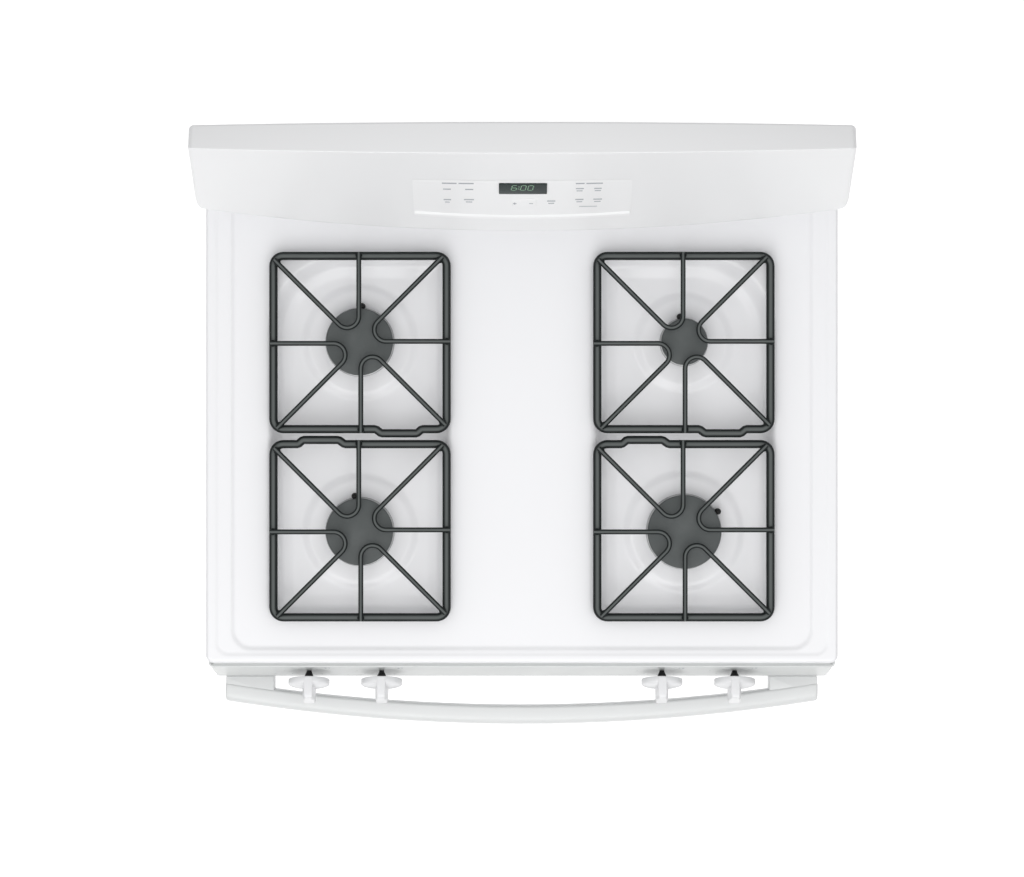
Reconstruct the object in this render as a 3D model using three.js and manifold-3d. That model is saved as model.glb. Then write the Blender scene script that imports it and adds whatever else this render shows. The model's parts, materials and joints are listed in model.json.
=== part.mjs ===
// A freestanding gas range: cabinet, oven, drawer, cooktop with four burners and a backguard.
// Millimetres. X runs across the range, -Y is its front and +Z is up; the floor is Z = 0.
import * as THREE from 'three';
import { mergeVertices } from 'three/addons/utils/BufferGeometryUtils.js';
import Module from 'manifold-3d';

const wasm = await Module();
wasm.setup();

// Overall sizes
const DEPTH = 712;
const BACK = DEPTH / 2;
const FRONT = -DEPTH / 2;
const HEIGHT = 1190;
const GAP = 0.3;
const SHEET = 2;

// Cabinet
const BODY_HALF = 378;
const BODY_BOTTOM = 34;
const BODY_TOP = 889;
const FRAME_FACE = -252;
const SIDE_SHEET = 1.2;
const LINER_SHEET = 1.2;

// Oven cavity and door
const CAVITY_HALF = 305;
const CAVITY_BACK = 241.5;
const CAVITY_LOW = 300;
const CAVITY_HIGH = 730;
const RIB_LEVELS = [321, 400, 470, 540, 610, 680];
const RIB_INNER = 297;
const RACK_HALF = 300.5;
const RACK_LEVELS = [RIB_LEVELS[2], RIB_LEVELS[4]];
const DOOR_FACE = FRONT + 60;
const DOOR_HALF = 375;
const DOOR_LOW = 266;
const DOOR_HIGH = 798;
const DOOR_SPLIT = DOOR_FACE + 22;
const LINER_FACE = -258;
const HINGE_Y = DOOR_FACE + 18;
const HINGE_Z = 290;
const HINGE_X = 337;
const DRAWER_LOW = 66;
const DRAWER_HIGH = 256;
const RAIL_X = 332;

// Handle
const HANDLE_HALF = 364;
const HANDLE_BOW = 29;
const HANDLE_BAR = 23;
const HANDLE_FOOT = 60;
const HANDLE_LOW = 762;
const HANDLE_TALL = 34;

// Cooktop
const COOKTOP_HALF = 379.5;
const COOKTOP_FRONT = FRONT + 82;
const COOKTOP_BACK = BACK - 4;
const COOKTOP_CORNER = 9;
const RIM_TOP = 914;
const DECK = 911;
const SKIRT = 890.3;
const RIM_WIDTH = 34;
const WELL_FLOOR = 893;
const WELL = { inner: 84, outer: 306, front: -224, back: 219, slope: 20, turn: 96, corner: 18 };
const PLATEAU_RISE = 4;

// Burners, grates and controls
const BURNER_X = 195;
const BURNER_REAR = 111.5;
const BURNER_FRONT = -116.5;
const GRATE_X = 194;
const GRATE_REAR = 110.5;
const GRATE_FRONT = -115;
const GRATE_HALF = 108.75;
const GRATE_CORNER = 17;
const BAR = 10;
const BAR_LOW = 920;
const ROD = 6;
const SLOPE_FOOT = 910.4;
const JOG = 5;
const BEND = 14;
const PANEL_TOP = { y: -278, z: 890 };
const PANEL_FOOT = { y: -296, z: 806 };
const PANEL_TILT = Math.atan2(PANEL_TOP.y - PANEL_FOOT.y, PANEL_TOP.z - PANEL_FOOT.z);
const KNOB_Z = 848;
const KNOB_X = [-258.7, -170.4, 170.4, 258.7];
const KNOB_NAMES = ['rear_left', 'front_left', 'front_right', 'rear_right'];
const KNOB_RADIUS = 25;
const KNOB_BACK = 10;
const KNOB_RIM = 17;
const KNOB_DISC = 21;
const KNOB_TIP = 37;
const STEM_RADIUS = 3;
const STEM_CONE = 5.2;
const STEM_HOLE = 4.6;

// Backguard
const GUARD_HALF = 384;
const GUARD_BASE = RIM_TOP + GAP;
const CROWN_RISE = 50;
const TOP_FALL = 15;
const CHIN_Z = RIM_TOP + 95;
const GUARD_SKIN = 2.5;
const GUARD_END = 5;

// One entry for each burner: place, radii of cap and plateau, and the angle of its igniter
const BURNERS = {
  rear_left: { x: -BURNER_X, y: BURNER_REAR, cap: 40.2, plateau: 63, spark: 86 },
  front_left: { x: -BURNER_X, y: BURNER_FRONT, cap: 40.3, plateau: 63, spark: 98 },
  rear_right: { x: BURNER_X, y: BURNER_REAR, cap: 27.8, plateau: 53, spark: 99 },
  front_right: { x: BURNER_X, y: BURNER_FRONT, cap: 44.2, plateau: 66, spark: 31 },
};

const FINISH = {
  porcelain: { color: 0xf3f3f5, roughness: 0.22, metalness: 0 },
  paint: { color: 0xeeeff0, roughness: 0.35, metalness: 0 },
  plastic: { color: 0xf2f2f2, roughness: 0.35, metalness: 0 },
  enamel: { color: 0x454b4b, roughness: 0.45, metalness: 0.1 },
  black: { color: 0x151617, roughness: 0.5, metalness: 0 },
  speckle: { color: 0x2a2c33, roughness: 0.4, metalness: 0 },
  glass: { color: 0x101213, roughness: 0.08, metalness: 0 },
  steel: { color: 0xb4b7b9, roughness: 0.4, metalness: 0.9 },
  chrome: { color: 0xd5d7d9, roughness: 0.15, metalness: 1 },
  aluminium: { color: 0xa9abac, roughness: 0.5, metalness: 0.9 },
  wool: { color: 0xd9cf9c, roughness: 1, metalness: 0 },
  seal: { color: 0x5a5c5e, roughness: 0.9, metalness: 0 },
  board: { color: 0x2f6a3e, roughness: 0.6, metalness: 0 },
  display: { color: 0x1f2c2c, roughness: 0.15, metalness: 0 },
};

const range = new THREE.Group();
const radians = THREE.MathUtils.degToRad;
const mirrored = [-1, 1];

// --- Building blocks -------------------------------------------------------------------------

function solid(geometry) {
  const bare = geometry.clone();
  bare.deleteAttribute('normal');
  bare.deleteAttribute('uv');
  const merged = mergeVertices(bare, 1e-4);
  return new wasm.Manifold(new wasm.Mesh({
    numProp: 3,
    vertProperties: merged.attributes.position.array,
    triVerts: Uint32Array.from(merged.index.array),
  }));
}

function add(name, shape, finish, parent = range) {
  const mesh = shape.getMesh();
  const geometry = new THREE.BufferGeometry();
  geometry.setAttribute('position', new THREE.BufferAttribute(mesh.vertProperties, 3));
  geometry.setIndex(new THREE.BufferAttribute(mesh.triVerts, 1));
  geometry.computeVertexNormals();
  const part = new THREE.Mesh(geometry, new THREE.MeshStandardMaterial(FINISH[finish]));
  part.name = name;
  parent.add(part);
  return part;
}

function block(x0, x1, y0, y1, z0, z1) {
  const box = new THREE.BoxGeometry(x1 - x0, y1 - y0, z1 - z0);
  return solid(box.translate((x0 + x1) / 2, (y0 + y1) / 2, (z0 + z1) / 2));
}

function outline(points) {
  return new THREE.Shape(points.map(([u, v]) => new THREE.Vector2(u, v)));
}

// A flat outline in X and Y, raised from z0 to z1; edge rounds both rims inward
function raise(shape, z0, z1, edge = 0, curveSegments = 6) {
  const options = { depth: z1 - z0 - 2 * edge, bevelEnabled: edge > 0, curveSegments };
  Object.assign(options, { bevelSize: edge, bevelThickness: edge, bevelOffset: -edge, bevelSegments: 1 });
  return solid(new THREE.ExtrudeGeometry(shape, options).translate(0, 0, z0 + edge));
}

// An outline in Y and Z, drawn out along X
function alongX(points, x0, x1) {
  const geometry = new THREE.ExtrudeGeometry(outline(points), { depth: x1 - x0, bevelEnabled: false });
  const turn = new THREE.Matrix4().set(0, 0, 1, x0, 1, 0, 0, 0, 0, 1, 0, 0, 0, 0, 0, 1);
  return solid(geometry.applyMatrix4(turn));
}

// An outline in X and Z, drawn out along Y
function alongY(shape, y0, y1) {
  const options = { depth: y1 - y0, bevelEnabled: false, curveSegments: 6 };
  const geometry = new THREE.ExtrudeGeometry(shape, options);
  return solid(geometry.rotateX(Math.PI / 2).translate(0, y1, 0));
}

function turned(profile, segments = 24) {
  return solid(new THREE.LatheGeometry(profile.map(([r, h]) => new THREE.Vector2(r, h)), segments)
    .rotateX(Math.PI / 2));
}

function disc(radius, z0, z1, segments = 24) {
  return turned([[0, z0], [radius, z0], [radius, z1], [0, z1]], segments);
}

function moved(shape, x, y, z = 0) {
  return shape.translate([x, y, z]);
}

function joined(shapes) {
  return shapes.reduce((whole, shape) => whole.add(shape));
}

function without(shape, cuts) {
  return cuts.reduce((left, cut) => left.subtract(cut), shape);
}

// A rod of round section along points joined by a smooth curve
function tube(points, radius, steps, sides = 6) {
  const section = new THREE.Shape();
  section.absarc(0, 0, radius, 0, 2 * Math.PI);
  const path = new THREE.CatmullRomCurve3(points.map((p) => new THREE.Vector3(...p)), false, 'centripetal');
  const options = { steps, extrudePath: path, bevelEnabled: false, curveSegments: sides };
  return solid(new THREE.ExtrudeGeometry(section, options));
}

// A rounded rectangle; radii run from the front left corner anticlockwise
function rounded(x0, x1, y0, y1, radii, segments = 5) {
  const corners = [[x0, y0, 1, 1, 180], [x1, y0, -1, 1, 270], [x1, y1, -1, -1, 0], [x0, y1, 1, -1, 90]];
  return corners.flatMap(([x, y, sx, sy, start], corner) => {
    const r = radii[corner];
    return Array.from({ length: segments + 1 }, (_, i) => {
      const angle = radians(start + (90 * i) / segments);
      return [x + sx * r + r * Math.cos(angle), y + sy * r + r * Math.sin(angle)];
    });
  });
}

// A closed skin over sections of equally many points; flat gives the plane in which the caps lie
function loft(sections, flat) {
  const count = sections[0].length;
  const faces = [];
  for (let s = 0; s < sections.length - 1; s++) {
    for (let i = 0; i < count; i++) {
      const a = s * count + i;
      const b = s * count + ((i + 1) % count);
      faces.push(a, b, b + count, a, b + count, a + count);
    }
  }
  const last = (sections.length - 1) * count;
  const cap = (section) => THREE.ShapeUtils.triangulateShape(section.map(flat), []);
  cap(sections[0]).forEach(([a, b, c]) => faces.push(a, c, b));
  cap(sections.at(-1)).forEach(([a, b, c]) => faces.push(last + a, last + b, last + c));
  const geometry = new THREE.BufferGeometry();
  geometry.setAttribute('position', new THREE.Float32BufferAttribute(sections.flat(2), 3));
  geometry.setIndex(faces);
  return solid(geometry);
}

function loftUp(levels) {
  const sections = levels.map(({ z, points }) => points.map(([x, y]) => [x, y, z]));
  return loft(sections, ([x, y]) => new THREE.Vector2(x, y));
}

function loftAcross(places, profile) {
  const sections = places.map((x) => profile(x).map(([y, z]) => [x, y, z]));
  return loft(sections, ([, y, z]) => new THREE.Vector2(y, z));
}

function spread(half, count) {
  return Array.from({ length: count }, (_, i) => -half + (2 * half * i) / (count - 1));
}

// --- Cabinet ---------------------------------------------------------------------------------

function sidePanel(side) {
  const flange = 17;
  const back = BACK - 1.5;
  const web = block(BODY_HALF - SIDE_SHEET, BODY_HALF, FRAME_FACE, back, BODY_BOTTOM, BODY_TOP);
  const front = block(BODY_HALF - flange, BODY_HALF, FRAME_FACE, FRAME_FACE + SIDE_SHEET, BODY_BOTTOM,
    BODY_TOP);
  const rear = block(BODY_HALF - flange, BODY_HALF, back - SIDE_SHEET, back, BODY_BOTTOM, BODY_TOP);
  const panel = joined([web, front, rear]);
  return side > 0 ? panel : panel.mirror([1, 0, 0]);
}

function backPanel() {
  const sheet = block(-BODY_HALF + 1, BODY_HALF - 1, BACK - 1.2, BACK, 40, BODY_TOP);
  const access = block(180, 330, BACK - 5, BACK + 5, 60, 200);
  return sheet.subtract(access);
}

function baseFrame() {
  const half = BODY_HALF - SIDE_SHEET - GAP;
  const front = FRAME_FACE + 1.6;
  const back = BACK - 3;
  const member = 40;
  const top = 62;
  const ring = block(-half, half, front, back, BODY_BOTTOM, top)
    .subtract(block(-half + member, half - member, front + member, back - member, 0, 100));
  const wall = 1.8;
  const channel = block(-half + wall, half - wall, front + wall, back - wall, 0, top - wall)
    .subtract(block(-half + member - wall, half - member + wall, front + member - wall, back - member + wall,
      0, top));
  const rails = mirrored.map((side) => block(side * RAIL_X - 13, side * RAIL_X + 13, front, 200, top - wall,
    74.6));
  const holes = legPlaces().map(([x, y]) => moved(disc(5.5, 20, 90, 10), x, y));
  return without(joined([ring.subtract(channel), ...rails]), holes);
}

function legPlaces() {
  return [[-350, -230], [350, -230], [-350, 330], [350, 330]];
}

function levelingLeg() {
  const foot = [[0, 0], [18, 0], [19, 2], [19, 7], [14, 10], [5, 10], [5, 66], [0, 66]];
  return turned(foot, 12);
}

function frontFrame() {
  const plate = block(-358, 358, FRAME_FACE, FRAME_FACE + 4.7, 258, 800);
  const mouth = block(-CAVITY_HALF - 1, CAVITY_HALF + 1, -300, -200, CAVITY_LOW - 1, CAVITY_HIGH + 1);
  const slots = mirrored.map((side) => block(side * HINGE_X - 2.6, side * HINGE_X + 2.6, -300, -200,
    HINGE_Z - 6.6, HINGE_Z + 6.6));
  return without(plate, [mouth, ...slots]);
}

function ovenLiner() {
  const front = FRAME_FACE + 5;
  const half = CAVITY_HALF + LINER_SHEET;
  const outer = block(-half, half, front, CAVITY_BACK + LINER_SHEET, CAVITY_LOW - LINER_SHEET,
    CAVITY_HIGH + LINER_SHEET);
  const inner = block(-CAVITY_HALF, CAVITY_HALF, front - 10, CAVITY_BACK, CAVITY_LOW, CAVITY_HIGH);
  const ribs = mirrored.flatMap((side) => RIB_LEVELS.map((z) => {
    const width = CAVITY_HALF - RIB_INNER + 0.5;
    const rib = alongX([[-205, z - 3], [236, z - 3], [236, z + 5], [-205, z + 5]], 0, width);
    return moved(rib, side > 0 ? RIB_INNER : -CAVITY_HALF - 0.5, 0);
  }));
  return joined([outer.subtract(inner), ...ribs]);
}

function insulation() {
  const outer = block(-350, 350, -222, 285, 264, 770);
  const room = LINER_SHEET + GAP;
  const inner = block(-CAVITY_HALF - room, CAVITY_HALF + room, -230, CAVITY_BACK + room, CAVITY_LOW - room,
    CAVITY_HIGH + room);
  return outer.subtract(inner);
}

function ovenFloor() {
  const level = RIB_LEVELS[0] + 5 + GAP;
  const plate = block(-302, 302, -236, 238, level, level + 2);
  const slots = mirrored.flatMap((side) => [-170, -60, 50, 160].map((y) =>
    block(side * 262 - 5, side * 262 + 5, y - 35, y + 35, level - 5, level + 5)));
  return without(plate, slots);
}

function bakeBurner() {
  return tube([[0, 236, 312], [0, 100, 312], [0, -60, 312], [0, -180, 312]], 10, 3, 5);
}

function broilBurner() {
  const points = [[-120, 230, 712], [-120, 60, 712], [-120, -90, 712], [-80, -140, 712], [0, -150, 712],
    [80, -140, 712], [120, -90, 712], [120, 60, 712], [120, 230, 712]];
  return tube(points, 8, 22, 3);
}

function ovenLamp() {
  const lamp = turned([[0, 0], [26, 0], [26, 8], [22, 24], [14, 36], [0, 40]], 16);
  return moved(lamp.rotate([90, 0, 0]), 230, CAVITY_BACK - GAP, 670);
}

function rack(level) {
  const low = level + 5 + GAP;
  const wire = 4;
  const bars = [];
  mirrored.forEach((side) => bars.push(block(side * RACK_HALF - 2, side * RACK_HALF + 2, -196, 232, low,
    low + wire)));
  [-194, 19, 230].forEach((y) => bars.push(block(-301, 301, y - 2, y + 2, low + 0.5, low + wire + 1)));
  spread(270, 10).forEach((x) => bars.push(block(x - 1.5, x + 1.5, -195, 231, low + 4, low + 7)));
  return joined(bars);
}

// --- Door and drawer -------------------------------------------------------------------------

function pan(half, y0, y1, low, high, open) {
  const outer = block(-half, half, y0, y1, low, high);
  const near = open < 0 ? y0 - 5 : y0 + SHEET;
  const far = open < 0 ? y1 - SHEET : y1 + 5;
  return outer.subtract(block(-half + SHEET, half - SHEET, near, far, low + SHEET, high - SHEET));
}

function hingeNotches() {
  return mirrored.map((side) => block(side * HINGE_X - 6, side * HINGE_X + 6, DOOR_FACE + 5, LINER_FACE - 6,
    DOOR_LOW - 5, HINGE_Z + 9));
}

function doorPanel() {
  const pane = outline(rounded(-230, 230, 400, 660, [12, 12, 12, 12], 3));
  const window = alongY(pane, DOOR_FACE - 5, DOOR_FACE + 8);
  return without(pan(DOOR_HALF, DOOR_FACE, DOOR_SPLIT, DOOR_LOW, DOOR_HIGH, 1), [window, ...hingeNotches()]);
}

function doorWindow() {
  const glass = outline(rounded(-229.5, 229.5, 400.5, 659.5, [11.5, 11.5, 11.5, 11.5], 3));
  return alongY(glass, DOOR_FACE + 0.4, DOOR_FACE + 4.4);
}

function doorLiner() {
  const near = DOOR_SPLIT + GAP;
  const flange = block(-DOOR_HALF + 0.5, DOOR_HALF - 0.5, near, near + 1.7, DOOR_LOW + 2.5, DOOR_HIGH - 0.5);
  const bulge = block(-345, 345, near, LINER_FACE, HINGE_Z + 8, 780);
  const hollow = block(-343, 343, near - 5, LINER_FACE - SHEET, HINGE_Z + 10, 778);
  const window = block(-190, 190, near - 5, LINER_FACE + 5, 420, 640);
  return without(flange.add(bulge), [hollow, window, ...hingeNotches()]);
}

function doorInnerGlass() {
  return block(-189.6, 189.6, LINER_FACE - 3.5, LINER_FACE - 0.5, 420.4, 639.6);
}

function hingeArm(side) {
  const end = 6;
  const points = [[-225, HINGE_Z - end], [-225, HINGE_Z + end], [HINGE_Y, HINGE_Z + end]];
  [120, 150, 180, 210, 240].forEach((angle) => points.push([
    HINGE_Y + end * Math.cos(radians(angle)), HINGE_Z + end * Math.sin(radians(angle))]));
  points.push([HINGE_Y, HINGE_Z - end]);
  return alongX(points.reverse(), side * HINGE_X - 2, side * HINGE_X + 2);
}

function gasket() {
  const plan = outline(rounded(-324, 324, 306, 752, [2, 2, 14, 14], 3));
  const ring = alongY(plan, LINER_FACE + GAP, FRAME_FACE - GAP);
  return ring.subtract(block(-312, 312, -300, -200, 200, 740));
}

function handleFront(x) {
  return FRONT + HANDLE_BOW * (x / HANDLE_HALF) ** 2;
}

function doorHandle() {
  const inner = HANDLE_HALF - HANDLE_FOOT;
  const front = spread(HANDLE_HALF, 13).map((x) => [x, handleFront(x)]);
  const rear = spread(inner, 11).map((x) => [x, handleFront(x) + HANDLE_BAR]).reverse();
  const foot = DOOR_FACE - GAP;
  const points = [...front, [HANDLE_HALF, foot], [inner + 10, foot], ...rear, [-inner - 10, foot],
    [-HANDLE_HALF, foot]];
  return raise(outline(points), HANDLE_LOW, HANDLE_LOW + HANDLE_TALL, 5);
}

function drawerFront() {
  return pan(DOOR_HALF, DOOR_FACE, DOOR_FACE + 20, DRAWER_LOW, DRAWER_HIGH, 1);
}

function drawerBin() {
  const front = DOOR_FACE + 20 + GAP;
  return block(-330, 330, front, 190, 75, 215).subtract(block(-328.5, 328.5, front + 1.5, 188.5, 76.5, 230));
}

// --- Cooktop ---------------------------------------------------------------------------------

function wellOutline(side, grow) {
  const { inner, outer, front, back, turn, corner } = WELL;
  const x0 = (side > 0 ? inner : -outer) - grow;
  const x1 = (side > 0 ? outer : -inner) + grow;
  const small = corner + grow * 0.5;
  const big = turn + grow;
  const radii = side > 0 ? [small, small, big, small] : [small, small, small, big];
  return rounded(x0, x1, front - grow, back + grow, radii);
}

function wellPocket(side, grow) {
  const run = WELL.slope / (DECK - WELL_FLOOR);
  const above = 10;
  return loftUp([
    { z: WELL_FLOOR - grow, points: wellOutline(side, grow - WELL.slope) },
    { z: DECK + above, points: wellOutline(side, grow + (above + grow) * run) },
  ]);
}

function plateau({ x, y, plateau: radius }) {
  const low = WELL_FLOOR - 1;
  const high = WELL_FLOOR + PLATEAU_RISE;
  return moved(turned([[0, low], [radius + 5, low], [radius, high], [0, high]], 28), x, y);
}

function cooktop() {
  const shape = (inset) => {
    const corner = COOKTOP_CORNER - inset;
    return outline(rounded(-COOKTOP_HALF + inset, COOKTOP_HALF - inset, COOKTOP_FRONT + inset,
      COOKTOP_BACK - inset, [corner, corner, 2, 2]));
  };
  const outer = raise(shape(0), SKIRT, RIM_TOP);
  const deck = raise(outline(rounded(-COOKTOP_HALF + RIM_WIDTH, COOKTOP_HALF - RIM_WIDTH, COOKTOP_FRONT + 20,
    BACK - 98, [15, 15, 4, 4])), DECK, RIM_TOP + 5);
  const under = raise(shape(SHEET), SKIRT - 5, DECK - SHEET);
  const pans = mirrored.map((side) => wellPocket(side, SHEET));
  const floor = block(-400, 400, -400, 400, SKIRT - 5, DECK + 0.5);
  const wells = mirrored.map((side) => wellPocket(side, 0));
  const burners = Object.values(BURNERS);
  const skin = joined([outer.subtract(deck).subtract(under), ...pans.map((p) => p.intersect(floor))]);
  const shell = joined([without(skin, wells), ...burners.map(plateau)]);
  const holes = burners.flatMap((burner) => [
    moved(disc(burner.cap * 0.62, 870, 920, 20), burner.x, burner.y),
    moved(disc(4.4, 870, 920, 8), ...sparkPlace(burner)),
  ]);
  return without(shell, holes);
}

// --- Burners and grates ----------------------------------------------------------------------

function burnerBase({ x, y, cap }) {
  const seat = WELL_FLOOR + PLATEAU_RISE + GAP;
  const throat = cap * 0.6;
  const profile = [[0, 868], [9, 868], [9, 880], [throat, 888], [throat, seat], [cap - 4, seat],
    [cap - 4, 907], [cap - 7, 911.7], [0, 911.7]];
  return moved(turned(profile, 20), x, y);
}

function burnerCap({ x, y, cap }) {
  const profile = [[0, 912], [cap - 1.2, 912], [cap, 913.2], [cap, 916], [cap - 1.5, 917.6], [0, 918.2]];
  return moved(turned(profile, 28), x, y);
}

function sparkPlace({ x, y, cap, spark }) {
  const reach = cap + 3;
  return [x + reach * Math.cos(radians(spark)), y + reach * Math.sin(radians(spark))];
}

function igniter(burner) {
  const profile = [[0, 884], [3.8, 884], [3.8, 912], [2.6, 914], [2.6, 915.4], [0, 916.5]];
  return moved(turned(profile, 8), ...sparkPlace(burner));
}

// The frame's outer line drawn in by inset, with the jog in the bar that faces the other grate
function frameLine(inset) {
  const half = GRATE_HALF - inset;
  const r = GRATE_CORNER - inset;
  const points = rounded(-half, half, -half, half, [r, r, r, r], 4);
  const jog = [[17.4, -half], [26.7, -half - JOG], [67.4, -half - JOG], [75, -half]];
  return [...points.slice(0, 5), ...jog, ...points.slice(5)];
}

// The line of one finger: in from the middle of a side, round a bend, and out to a corner
function fingerLine() {
  const centre = [-15.2, 31.4];
  const bend = [0, -27, -54, -81, -108, -135].map((angle) => [
    centre[0] + BEND * Math.cos(radians(angle)), centre[1] + BEND * Math.sin(radians(angle))]);
  const [endX, endY] = bend.at(-1);
  const run = 102 + endX;
  return [[centre[0] + BEND, GRATE_HALF - 1], ...bend, [endX - run, endY + run]];
}

function ribbon(line, width) {
  const sides = [[], []];
  line.forEach(([x, y], i) => {
    const [ax, ay] = line[Math.max(i - 1, 0)];
    const [bx, by] = line[Math.min(i + 1, line.length - 1)];
    const length = Math.hypot(bx - ax, by - ay);
    const nx = (-(by - ay) / length) * (width / 2);
    const ny = ((bx - ax) / length) * (width / 2);
    sides[0].push([x - nx, y - ny]);
    sides[1].unshift([x + nx, y + ny]);
  });
  return outline([...sides[0], ...sides[1]]);
}

// deckFoot is the corner, anticlockwise from the front left, whose foot stands on the deck
function grate(x, y, turn, deckFoot) {
  const frame = raise(outline(frameLine(0)), BAR_LOW, BAR_LOW + BAR, 1.8)
    .subtract(raise(outline(frameLine(BAR)), BAR_LOW - 5, BAR_LOW + BAR + 5));
  const rodLow = BAR_LOW + BAR - 1;
  const finger = raise(ribbon(fingerLine(), ROD), rodLow, rodLow + ROD, 1.5);
  const fingers = [0, 90, 180, 270].map((angle) => finger.rotate([0, 0, angle]));
  const reach = GRATE_HALF - 8.2;
  const feet = [[-1, -1], [1, -1], [1, 1], [-1, 1]].map(([sx, sy], corner) => {
    const low = corner === deckFoot ? DECK + GAP : SLOPE_FOOT;
    return moved(disc(3.5, low, BAR_LOW + 4, 8), sx * reach, sy * reach);
  });
  return moved(joined([frame, ...fingers, ...feet]).rotate([0, 0, turn]), x, y);
}

// --- Front panel, gas line and knobs ---------------------------------------------------------

function controlPanel() {
  const shell = (inset) => {
    const lean = inset * 1.05;
    const rear = FRAME_FACE - 4 + 3 * inset;
    const profile = [[PANEL_FOOT.y + lean, PANEL_FOOT.z + inset], [rear, PANEL_FOOT.z + inset],
      [rear, PANEL_TOP.z - inset], [PANEL_TOP.y + lean, PANEL_TOP.z - inset]];
    const corner = 20 - inset;
    const plan = outline(rounded(-BODY_HALF + inset, BODY_HALF - inset, PANEL_FOOT.y + inset, -200,
      [corner, corner, 2, 2]));
    return alongX(profile, -BODY_HALF, BODY_HALF).intersect(raise(plan, 700, 900));
  };
  const holes = KNOB_X.map((x) => placedOnPanel(disc(STEM_HOLE, -15, 15, 12), x));
  return without(shell(0).subtract(shell(SHEET)), holes);
}

function panelFace() {
  const drop = PANEL_TOP.z - KNOB_Z;
  return PANEL_TOP.y - drop * Math.tan(PANEL_TILT);
}

function placedOnPanel(shape, x) {
  return shape.rotate([90 - THREE.MathUtils.radToDeg(PANEL_TILT), 0, 0]).translate([x, panelFace(), KNOB_Z]);
}

function valveStem(x) {
  const end = KNOB_BACK - GAP;
  const cone = [[STEM_RADIUS, 1.2], [STEM_CONE, 5.6]];
  return placedOnPanel(turned([[0, -24], [STEM_RADIUS, -24], ...cone, [STEM_CONE, end], [0, end]], 12), x);
}

function knob(x) {
  const edge = KNOB_RADIUS - 0.6;
  const skirt = turned([[0, KNOB_BACK], [edge, KNOB_BACK], [KNOB_RADIUS, KNOB_BACK + 1],
    [KNOB_RADIUS, KNOB_RIM], [22, KNOB_RIM + 2.2], [14, KNOB_DISC - 0.4], [0, KNOB_DISC]], 32);
  const low = KNOB_BACK + 1;
  const shoulder = KNOB_TIP - 2;
  const grip = outline([[-6.2, low], [6.2, low], [6.2, shoulder], [5, KNOB_TIP], [-5, KNOB_TIP],
    [-6.2, shoulder]]);
  const reach = KNOB_RADIUS + 0.4;
  const ends = alongX([[-reach, low], [reach, low], [reach - 1, shoulder], [reach - 3.5, KNOB_TIP],
    [3.5 - reach, KNOB_TIP], [1 - reach, shoulder]], -10, 10);
  return placedOnPanel(skirt.add(alongY(grip, -reach, reach).intersect(ends)), x);
}

function gasManifold() {
  const pipeBack = 58;
  const pipeY = panelFace() + pipeBack * Math.cos(PANEL_TILT);
  const pipeZ = KNOB_Z - pipeBack * Math.sin(PANEL_TILT);
  const pipe = tube([[-290, pipeY, pipeZ], [0, pipeY, pipeZ], [300, pipeY, pipeZ]], 10, 1, 5);
  const valves = KNOB_X.map((x) => placedOnPanel(block(-10, 10, -13, 13, -54, -28), x));
  const feeds = KNOB_X.map((x, i) => {
    const burner = BURNERS[KNOB_NAMES[i]];
    const turn = burner.y > 0 ? burner.y - 40 : burner.y - 30;
    return tube([[x, pipeY, pipeZ], [x, pipeY + 22, 848], [x, (pipeY + turn) / 2, 850], [x, turn - 10, 850],
      [burner.x, burner.y - 4, 851], [burner.x, burner.y, 866]], 3, 9, 3);
  });
  const supply = tube([[295, pipeY, pipeZ], [355, pipeY + 8, pipeZ], [363, pipeY + 60, pipeZ],
    [363, 200, pipeZ], [362, 318, pipeZ - 8], [360, 330, pipeZ - 60], [345, 330, 300], [300, 330, 150],
    [300, 330, 126]], 6, 20, 3);
  return joined([pipe, ...valves, ...feeds, supply]);
}

function gasRegulator() {
  const x = 300;
  const y = 330;
  const body = turned([[0, 80], [10, 80], [10, 88], [24, 92], [24, 112], [12, 118], [10, 124.5], [0, 124.5]],
    16);
  const inlet = disc(9, 0, 40, 12).rotate([-90, 0, 0]);
  const elbow = block(x - 44, x, y - 12, y + 4, 96, 104);
  return joined([moved(body, x, y), moved(inlet, x - 40, y - 16, 100), elbow]);
}

// --- Backguard -------------------------------------------------------------------------------

function bow(x) {
  return 1 - (x / GUARD_HALF) ** 2;
}

function crown(x) {
  return HEIGHT - CROWN_RISE * (1 - bow(x));
}

function topEdge(x) {
  return [BACK - 28 - 9 * bow(x), crown(x) - 8];
}

function chinEdge(x) {
  return [BACK - 90 - 27 * bow(x), CHIN_Z];
}

// The section at x, drawn in by inset; open lets the back run out past the rear face
function guardSection(x, inset, open) {
  const reach = Math.min(GUARD_HALF - Math.abs(x), GUARD_END);
  const shrink = inset + GUARD_END - Math.sqrt(GUARD_END ** 2 - (GUARD_END - reach) ** 2);
  const back = open ? BACK + 5 : BACK - shrink * 0.8;
  const [topY, topZ] = topEdge(x);
  const [chinY, chinZ] = chinEdge(x);
  const top = crown(x) - shrink;
  return [
    [chinY + 20 + shrink, GUARD_BASE + inset],
    [back, GUARD_BASE + inset],
    [back, top - TOP_FALL - 5],
    [Math.min(back, BACK) - 4 - shrink * 0.2, top - TOP_FALL],
    [topY + 9 + shrink * 0.5, top],
    [topY + 2.5 + shrink, top - 3 + inset * 0.3],
    [topY + shrink, topZ - shrink * 0.6],
    [chinY + shrink, chinZ + 6],
    [chinY + 1 + shrink, chinZ - 6 + inset * 0.5],
    [chinY + 8 + shrink, chinZ - 16 + inset],
  ];
}

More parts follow.
